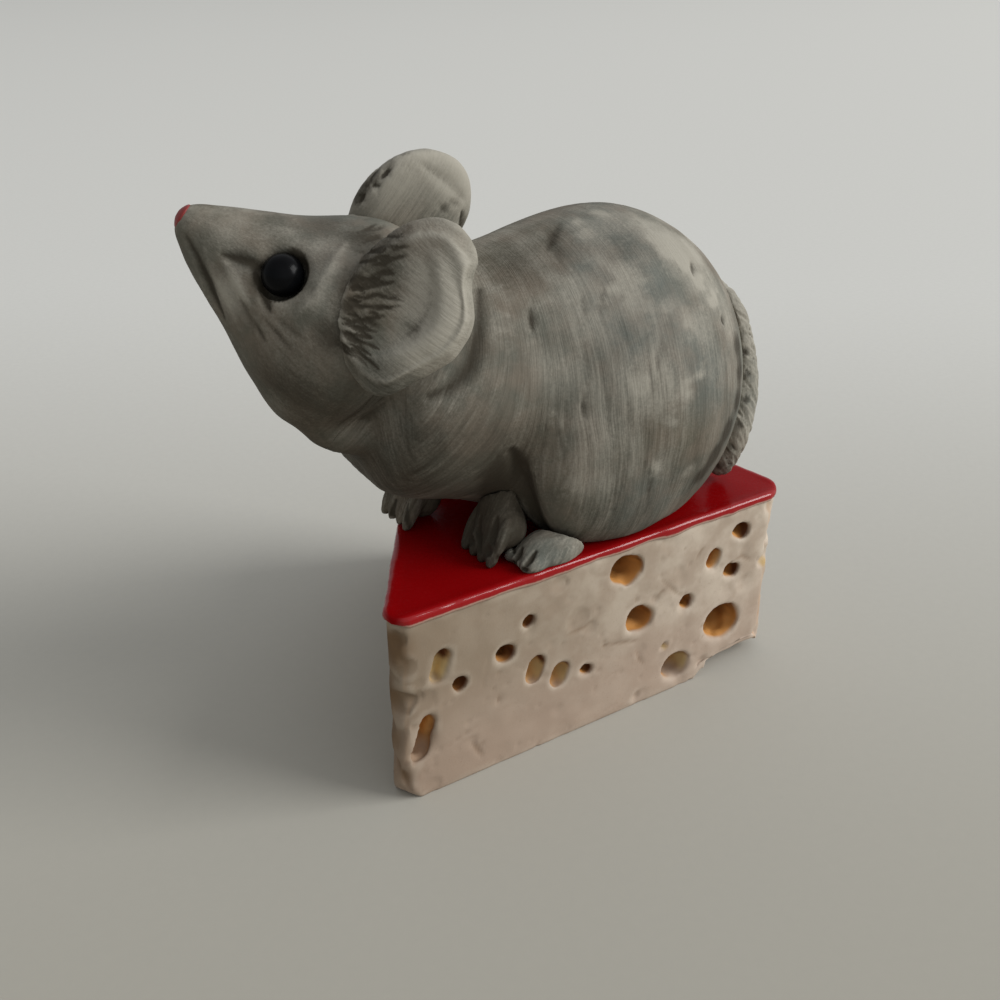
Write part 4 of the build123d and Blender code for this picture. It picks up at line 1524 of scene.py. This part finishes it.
def wall_distances(points):
    """Distance inside the front cut, the other cut and the wheel's rim, in mm."""
    off = points[:, :2] - APEX
    front = off[:, 1]
    other = off @ np.array([np.sin(TURN), -np.cos(TURN)])
    rim = WHEEL - np.linalg.norm(off, axis=1)
    return front, other, rim


cheese = clay_copy("cheese_block", "cheese_wedge")
remesh(cheese, 0.29)
soften(cheese.data, 1)
mesh = cheese.data
points = points_of(mesh)
walls = np.array([*wall_distances(points), points[:, 2], TOP - points[:, 2]])
depth = walls.min(0)
clear_of_edges = ramp(np.sort(walls[:3], axis=0)[1], 1.3, 2.2)
print("cheese:", len(points), "points, deepest hole", depth.max().round(1), "mm")

# %% [markdown]
# Chips are round bites out of the edges and faces. Each is given by the pixel
# where it shows, its radius and its bite in mm. Seeded random draws place more
# of them on the edges that the picture hides. A flake has also snapped off the
# lower front edge.

# %% Chips, flakes and uneven faces
CHIPS = [
    (396, 640, 1.0, 0.45), (405, 668, 1.3, 0.35), (398, 704, 1.6, 0.75), (388, 722, 1.4, 0.5),
    (412, 700, 1.2, 0.45), (384, 676, 1.0, 0.35), (390, 760, 1.2, 0.45), (432, 786, 1.2, 0.35),
    (771, 527, 1.5, 0.9), (766, 552, 1.0, 0.5), (763, 585, 1.3, 0.7), (770, 505, 1.0, 0.4),
    (760, 634, 1.2, 0.5), (741, 648, 2.0, 0.25), (702, 662, 1.0, 0.4), (763, 560, 0.9, 0.9),
    (664, 646, 0.5, 0.6), (768, 540, 1.0, 0.4), (722, 654, 1.6, 0.2),
    (680, 680, 1.0, 0.2), (640, 696, 1.3, 0.14), (560, 730, 1.4, 0.12), (500, 756, 1.6, 0.12),
    (586, 560, 0.9, 0.18), (560, 584, 1.1, 0.30), (578, 620, 1.6, 0.28), (590, 628, 1.0, 0.22),
    (655, 600, 0.7, 0.22), (640, 650, 0.9, 0.15), (472, 742, 0.8, 0.20), (636, 696, 0.7, 0.25),
    (745, 582, 1.4, 0.25), (450, 690, 1.6, 0.30), (424, 700, 1.5, 0.35), (500, 700, 0.8, 0.12),
]
HIDDEN_CHIPS = 20
EDGE_RUN = 47  # mm of each hidden edge, along which they are spread
SNAPPED_EDGE = [(703, 672), (730, 661), (757, 648)]
BLOCK_MIDDLE = np.array([8.0, 0.0])


def chip(points, place, rise, radius, bite):
    """Push a round bite in towards the block's middle, a little upwards by `rise`."""
    gap = np.linalg.norm(points - place, axis=1)
    way = np.append(BLOCK_MIDDLE - place[:2], rise)
    way = way / np.linalg.norm(way)
    cave = (1 - (gap / radius) ** 2).clip(0, None)
    points += way * (bite * cave)[:, None]


there = surface_of(mesh)
for u, v, radius, bite in CHIPS:
    chip(points, seen_at(there, (u, v))[0], 0.0, radius, bite)
hidden = np.random.default_rng(4)
for i in range(HIDDEN_CHIPS):
    side = i % 2
    run = 3 + (EDGE_RUN - 3) * hidden.random()
    if side == 0:
        flat = APEX + run * np.array([np.cos(TURN), np.sin(TURN)])
    else:
        angle = TURN * run / EDGE_RUN
        flat = APEX + WHEEL * np.array([np.cos(angle), np.sin(angle)])
    level = 0.2 if hidden.random() < 0.7 else TOP * hidden.random()
    radius, bite = 0.6 + 1.8 * hidden.random(), 0.12 + 0.45 * hidden.random()
    chip(points, np.append(flat, level), 4.0, radius, bite)
snapped = line_distance(points, seen_at(there, *SNAPPED_EDGE))[0]
points[:, 2] += 1.1 * (1 - (snapped / 1.5) ** 2).clip(0, None)
print("chips:", len(CHIPS) + HIDDEN_CHIPS)

# %% Ragged holes and rough faces
in_hole = ramp(depth, 0.15, 0.6)
ragged = np.stack([lumps(points, 1.5, 131), 0 * depth, lumps(points, 1.5, 132)], 1)
points += ragged * (0.22 * ramp(depth, 0.02, 0.25) * clear_of_edges)[:, None]
put_points(mesh, points)
rough = 0.10 * lumps(points, 6.0, 91) + 0.05 * lumps(points, 1.6, 92)
rough += in_hole * 0.16 * lumps(points, 0.9, 93)
rough *= ramp(points[:, 2], 0.05, 0.8)
put_points(mesh, points_of(mesh) + normals_of(mesh) * rough[:, None])
print("roughest spot", np.abs(rough).max().round(2), "mm")

# %% Broken foot of the nose, and scratches on the faces
there = surface_of(mesh)
SCOOP_LINES = [  # a negative bite pushes a ridge or spike out
    ([(431, 722), (424, 740), (416, 762)], 0.85, 0.9),
    ([(410, 728), (406, 745), (402, 764)], 0.5, -0.35),
    ([(398, 758), (404, 776), (410, 790)], 0.45, 0.35),
    ([(404, 748), (414, 750), (422, 748)], 0.30, 0.25),
    ([(655, 600), (662, 592), (667, 588)], 0.22, 0.16),
    ([(662, 580), (676, 592), (690, 598)], 0.20, 0.14),
    ([(566, 636), (584, 628), (592, 622)], 0.22, 0.14),
    ([(602, 646), (626, 642), (640, 640)], 0.20, 0.12),
    ([(696, 560), (702, 550), (706, 546)], 0.20, 0.10),
    ([(636, 650), (640, 660), (644, 664)], 0.22, 0.14),
    ([(472, 742), (478, 750), (482, 756)], 0.30, 0.22),
    ([(735, 560), (742, 556), (752, 560)], 0.22, 0.14),
    ([(499, 696), (500, 704)], 0.16, 0.14),
    ([(722, 506), (728, 514)], 0.35, 0.16),
]
scratch_dark = np.zeros(len(points))
for pixels, width, bite in SCOOP_LINES:
    mark = press(mesh, seen_at(there, *pixels), width, bite)
    if bite > 0:
        scratch_dark = np.maximum(scratch_dark, mark)
print("marks on the cheese:", len(SCOOP_LINES))

# %% Cheese paint
cheese_paint, tree, shader = new_paint("cream_clay", 0.72)
plug(tree, shader, Specular_IOR_Level=0.3)
clay = use_group(tree, grain, Vector=object_place(tree), Grain_size_mm=0.20)
face = blend(tree, clay["Stain"], POTS["cream"], POTS["cream_light"])
# painted shade, darker towards the nose
face = blend(tree, attribute(tree, "handled"), face, POTS["cream_handled"])
low = maths(tree, "MULTIPLY", attribute(tree, "low"), 0.6)
face = blend(tree, low, face, POTS["cream_pink"])
specks = smooth_step(tree, clay["Grain"], 0.60, 0.72, 0.0, 0.4)
face = blend(tree, specks, face, POTS["speck"])
chalky = maths(tree, "MULTIPLY", attribute(tree, "chalk"), 0.2)
face = blend(tree, chalky, face, POTS["cream_chalk"])
wall = blend(tree, attribute(tree, "yellow"), POTS["ochre"], POTS["straw"])
# brown paint in the holes, with painted shade under their roofs
wall = blend(tree, attribute(tree, "burn"), wall, POTS["burnt"])
face = blend(tree, attribute(tree, "hollow"), face, wall)
# dirt in scratches and pits, and painted shade on the nose's facet
face = blend(tree, attribute(tree, "dirt"), face, POTS["dirt"])
plug(tree, shader, Base_Color=face)
bumped(tree, shader, clay["Grain"], 0.35, 0.05)
print("cheese paint:", len(tree.nodes), "nodes")

# %% Scratches and pits
comb_along(mesh, (0.9, 0, 0.3), (0, 0, 1))
store_all(
    mesh, amount=ramp(depth, 0.5, 0.1), hole_depth=depth, scratch_dark=scratch_dark,
    clear_of_edges=clear_of_edges,
)
score(
    cheese, cheese_paint, per_mm2=0.035, length=2.6, half_width=0.24, depth=0.06, stray=0.9,
    seed=94,
)
pit(cheese, cheese_paint, per_mm2=0.10, least=0.18, most=0.45, depth=0.14, seed=95)
first_pits = values_of(cheese.data, "pit")
pit(cheese, cheese_paint, per_mm2=0.02, least=0.5, most=1.3, depth=0.10, seed=96)
print("scratched cheese:", len(cheese.data.polygons), "faces")

# %% The paint in the holes and on the faces
SMALL_HOLES = [(763, 561, 0.9, 1.0), (664, 646, 0.6, 1.0)]
FILLED = [  # holes with less paint in them
    (421, 748, 2.0, 1.0), (414, 762, 1.6, 1.0), (434, 679, 1.1, 0.9), (532, 681, 1.0, 0.9),
    (557, 684, 1.0, 0.9), (671, 673, 1.3, 0.7),
]
# painted shade on the narrow facet of the nose, which faces away from the lamp
NOSE_SHADE = [
    (390, 650, 3.4, 0.9), (388, 690, 3.4, 0.9), (392, 735, 3.0, 0.8), (398, 770, 3.0, 0.5),
    (396, 640, 2.2, 0.4),
]
YELLOW = [
    (680, 660, 3.0, 1.0), (441, 668, 3.2, 1.0), (538, 668, 2.2, 1.0), (563, 671, 2.2, 1.0),
    (719, 559, 1.6, 0.4), (763, 559, 2.2, 0.8), (662, 647, 1.2, 0.8),
]
BURNT = [
    (508, 654, 2.2, 1.0), (532, 623, 1.6, 1.3), (589, 666, 1.6, 1.3), (460, 684, 2.0, 1.1),
    (443, 652, 1.1, 1.2), (541, 658, 0.9, 1.2), (567, 662, 0.9, 1.1), (691, 600, 1.8, 1.0),
    (747, 532, 2.0, 1.3), (737, 569, 1.8, 1.3), (644, 617, 2.0, 0.45),
]
mesh = cheese.data
there = surface_of(mesh)
points = points_of(mesh)
depth = values_of(mesh, "hole_depth")
patchy = 0.35 * lumps(points, 1.3, 97)
# paint goes in the holes, less of it where they are filled
hollow = ramp(depth + 0.25 * patchy, 0.12, 0.55) * ramp(points[:, 2], 1.2, 2.6)
hollow *= values_of(mesh, "clear_of_edges")
hollow += spots(mesh, there, SMALL_HOLES)
hollow *= 1 - 0.85 * np.clip(spots(mesh, there, FILLED), 0, 1)
chalk = ramp(relief(mesh, 12), 0.015, 0.07) * ramp(patchy, -0.25, 0.2)
yellow = spots(mesh, there, YELLOW)
# brown paint deep in a hole, painted shade under its roof and painted light on its floor
roof = -normals_of(mesh)[:, 2]
burn = spots(mesh, there, BURNT) + 0.55 * ramp(depth, 1.0, 3.2) + patchy - 0.3 * yellow
burn += 0.55 * ramp(roof, 0.0, 0.6) - 0.25 * ramp(-roof, 0.1, 0.7)
# painted shade: the block is darker towards its nose, away from the lamp; the cheese is also pinker
# near its foot
handled = 0.95 * ramp(points[:, 0] + 3 * lumps(points, 6.0, 99), 17, -27)
low = ramp(points[:, 2] + 1.5 * lumps(points, 7.0, 98), 15, 2)
# dirt in scratches and pits, and painted shade on the nose's facet
dirt = 0.45 * values_of(mesh, "scratch_dark") + 0.35 * first_pits * ramp(patchy, -0.1, 0.3)
dirt += 1.2 * values_of(mesh, "groove_sum").clip(0, 0.2) + spots(mesh, there, NOSE_SHADE)
store_masks(
    mesh, hollow=hollow, yellow=yellow, burn=burn, low=low, dirt=dirt, chalk=chalk,
    handled=handled,
)
hand_over(cheese, "cheese", cheese_paint, "cheese_wedge")

# %% [markdown]
# ## The wax
# A sheet of clay laid over the top and painted with glossy red enamel. It
# stands out over the cut faces as a narrow lip that waves and droops a little,
# and the enamel is thin on its lower edge.

# %% Wax sheet with its lip
wax = clay_copy("wax_top", "wax_rind")
remesh(wax, 0.24)
soften(wax.data, 4)
mesh = wax.data
points = points_of(mesh)
LIP = 0.3  # how far the sheet stands out over the cut faces, in mm
inside = np.min(wall_distances(points), axis=0) + LIP
edge = ramp(inside, 1.5, 0.2)
wave = lumps(points, 3.4, 101) + 0.5 * lumps(points, 1.3, 102)
under = ramp(points[:, 2], TOP + 0.5, TOP)
long_wave = lumps(points, 9.0, 103)
points[:, 2] += edge * (0.06 + 0.08 * wave + 0.10 * long_wave) * (1 - under)
# the lip hangs down unevenly, and its edge waves in and out
droop = (0.15 + 0.30 * wave + 0.2 * long_wave).clip(-0.1, None)
points[:, 2] -= ramp(inside, 0.5, 0.1) * under * droop
out = normals_of(mesh) * (1, 1, 0)
points += out * (edge * (0.02 + 0.11 * wave + 0.08 * long_wave))[:, None]
put_points(mesh, points)
soften(mesh, 2)
height = points[:, 2] + 0.22 * wave + 0.12 * long_wave
store_all(mesh, edge=ramp(inside, 0.9, 0.1), thin=ramp(height, TOP + 0.42, TOP + 0.1))
print("wax:", len(points), "points, highest", points[:, 2].max().round(2), "mm")

# %% Wax enamel
enamel, tree, shader = new_paint("red_enamel", 0.22)
plug(tree, shader, Specular_IOR_Level=0.03, Coat_Roughness=0.08)
clay = use_group(tree, grain, Vector=object_place(tree), Grain_size_mm=0.6)
red = blend(tree, clay["Stain"], POTS["red"], POTS["red_stain"])
lit_edge = maths(tree, "MULTIPLY", attribute(tree, "edge"), 0.3)
red = blend(tree, lit_edge, red, POTS["red_edge"])
worn = maths(tree, "ADD", attribute(tree, "thin"), maths(tree, "MULTIPLY", clay["Grain"], 0.5))
rubbed = smooth_step(tree, worn, 0.70, 1.15, 0.0, 0.9)
red = blend(tree, rubbed, red, POTS["red_rubbed"])
plug(tree, shader, Base_Color=red)
glossy = maths(tree, "ADD", attribute(tree, "edge"), maths(tree, "MULTIPLY", clay["Stain"], 0.15))
coat_weight = smooth_step(tree, glossy, 0.0, 1.0, 0.0, 0.7)
plug(tree, shader, Coat_Weight=coat_weight)
plug(tree, shader, Roughness=smooth_step(tree, clay["Grain"], 0.3, 0.7, 0.18, 0.32))
bumped(tree, shader, clay["Grain"], 0.25, 0.05)
hand_over(wax, "wax", enamel, "wax_rind")

# %% [markdown]
# ## Beads and nose
# The eyes are glass beads, drawn here as balls that are very slightly uneven, so
# that their gloss isn't perfectly round. The nose is a dab of clay on the
# snout's tip, painted a dull red that has rubbed off a little at its edge.

# %% Eye beads
glass, tree, shader = new_paint("black_bead", 0.3)
plug(tree, shader, Specular_IOR_Level=0.07, Coat_Weight=0.015, Coat_Roughness=0.05)
dust = use_group(tree, grain, Vector=object_place(tree), Grain_size_mm=0.3)
dusty = smooth_step(tree, dust["Stain"], 0.2, 1.0)
tint = blend(tree, dusty, POTS["black"], POTS["black_dust"])
plug(tree, shader, Base_Color=tint)
plug(tree, shader, Roughness=smooth_step(tree, dust["Grain"], 0.4, 0.8, 0.20, 0.36))


def bead(name, centre, node):
    bm = bmesh.new()
    bmesh.ops.create_icosphere(bm, subdivisions=6, radius=1.0)
    mesh = bpy.data.meshes.new(name)
    bm.to_mesh(mesh)
    bm.free()
    ball = points_of(mesh) * MM
    ball *= (EYEBALL * (1 + 0.006 * lumps(ball * 3, 2.0, 111)))[:, None]
    put_points(mesh, ball + centre)
    hand_over(new_object(name, mesh), "bead", glass, node)


bead("left_bead", LEFT_EYE, "left_eye")
bead("right_bead", RIGHT_EYE, "right_eye")

# %% Nose
nose_paint, tree, shader = new_paint("rubbed_nose", 0.5)
clay = use_group(tree, grain, Vector=object_place(tree), Grain_size_mm=0.12)
rubbed = smooth_step(tree, maths(tree, "ADD", clay["Grain"], attribute(tree, "worn")), 0.6, 1.2)
plug(tree, shader, Base_Color=blend(tree, rubbed, POTS["nose"], POTS["rose_grey"]))
bumped(tree, shader, clay["Grain"], 0.4, 0.04)
nose = clay_piece("nose_pad", "nose_tip", voxel=0.12, wipes=14, bumps=0.05, seed=121, finer=False)
# pushed in, thinned, and domed towards its middle
points = points_of(nose.data)
flat = (points - points.mean(0)) @ NOSE_WAY
points -= 0.26 * NOSE_WAY + 0.25 * np.outer(flat, NOSE_WAY)
across = points - points.mean(0) - np.outer(flat, NOSE_WAY)
wide = np.linalg.norm(across, axis=1)
points += np.outer(0.28 * ramp(wide, wide.max(), 0.2) - 0.16, NOSE_WAY) - 0.06 * across
put_points(nose.data, points)
out = np.linalg.norm(points - points.mean(0), axis=1)
store(nose.data, "worn", 0.12 * ramp(out, np.percentile(out, 60), out.max()))
hand_over(nose, "nose", nose_paint, "nose_tip")
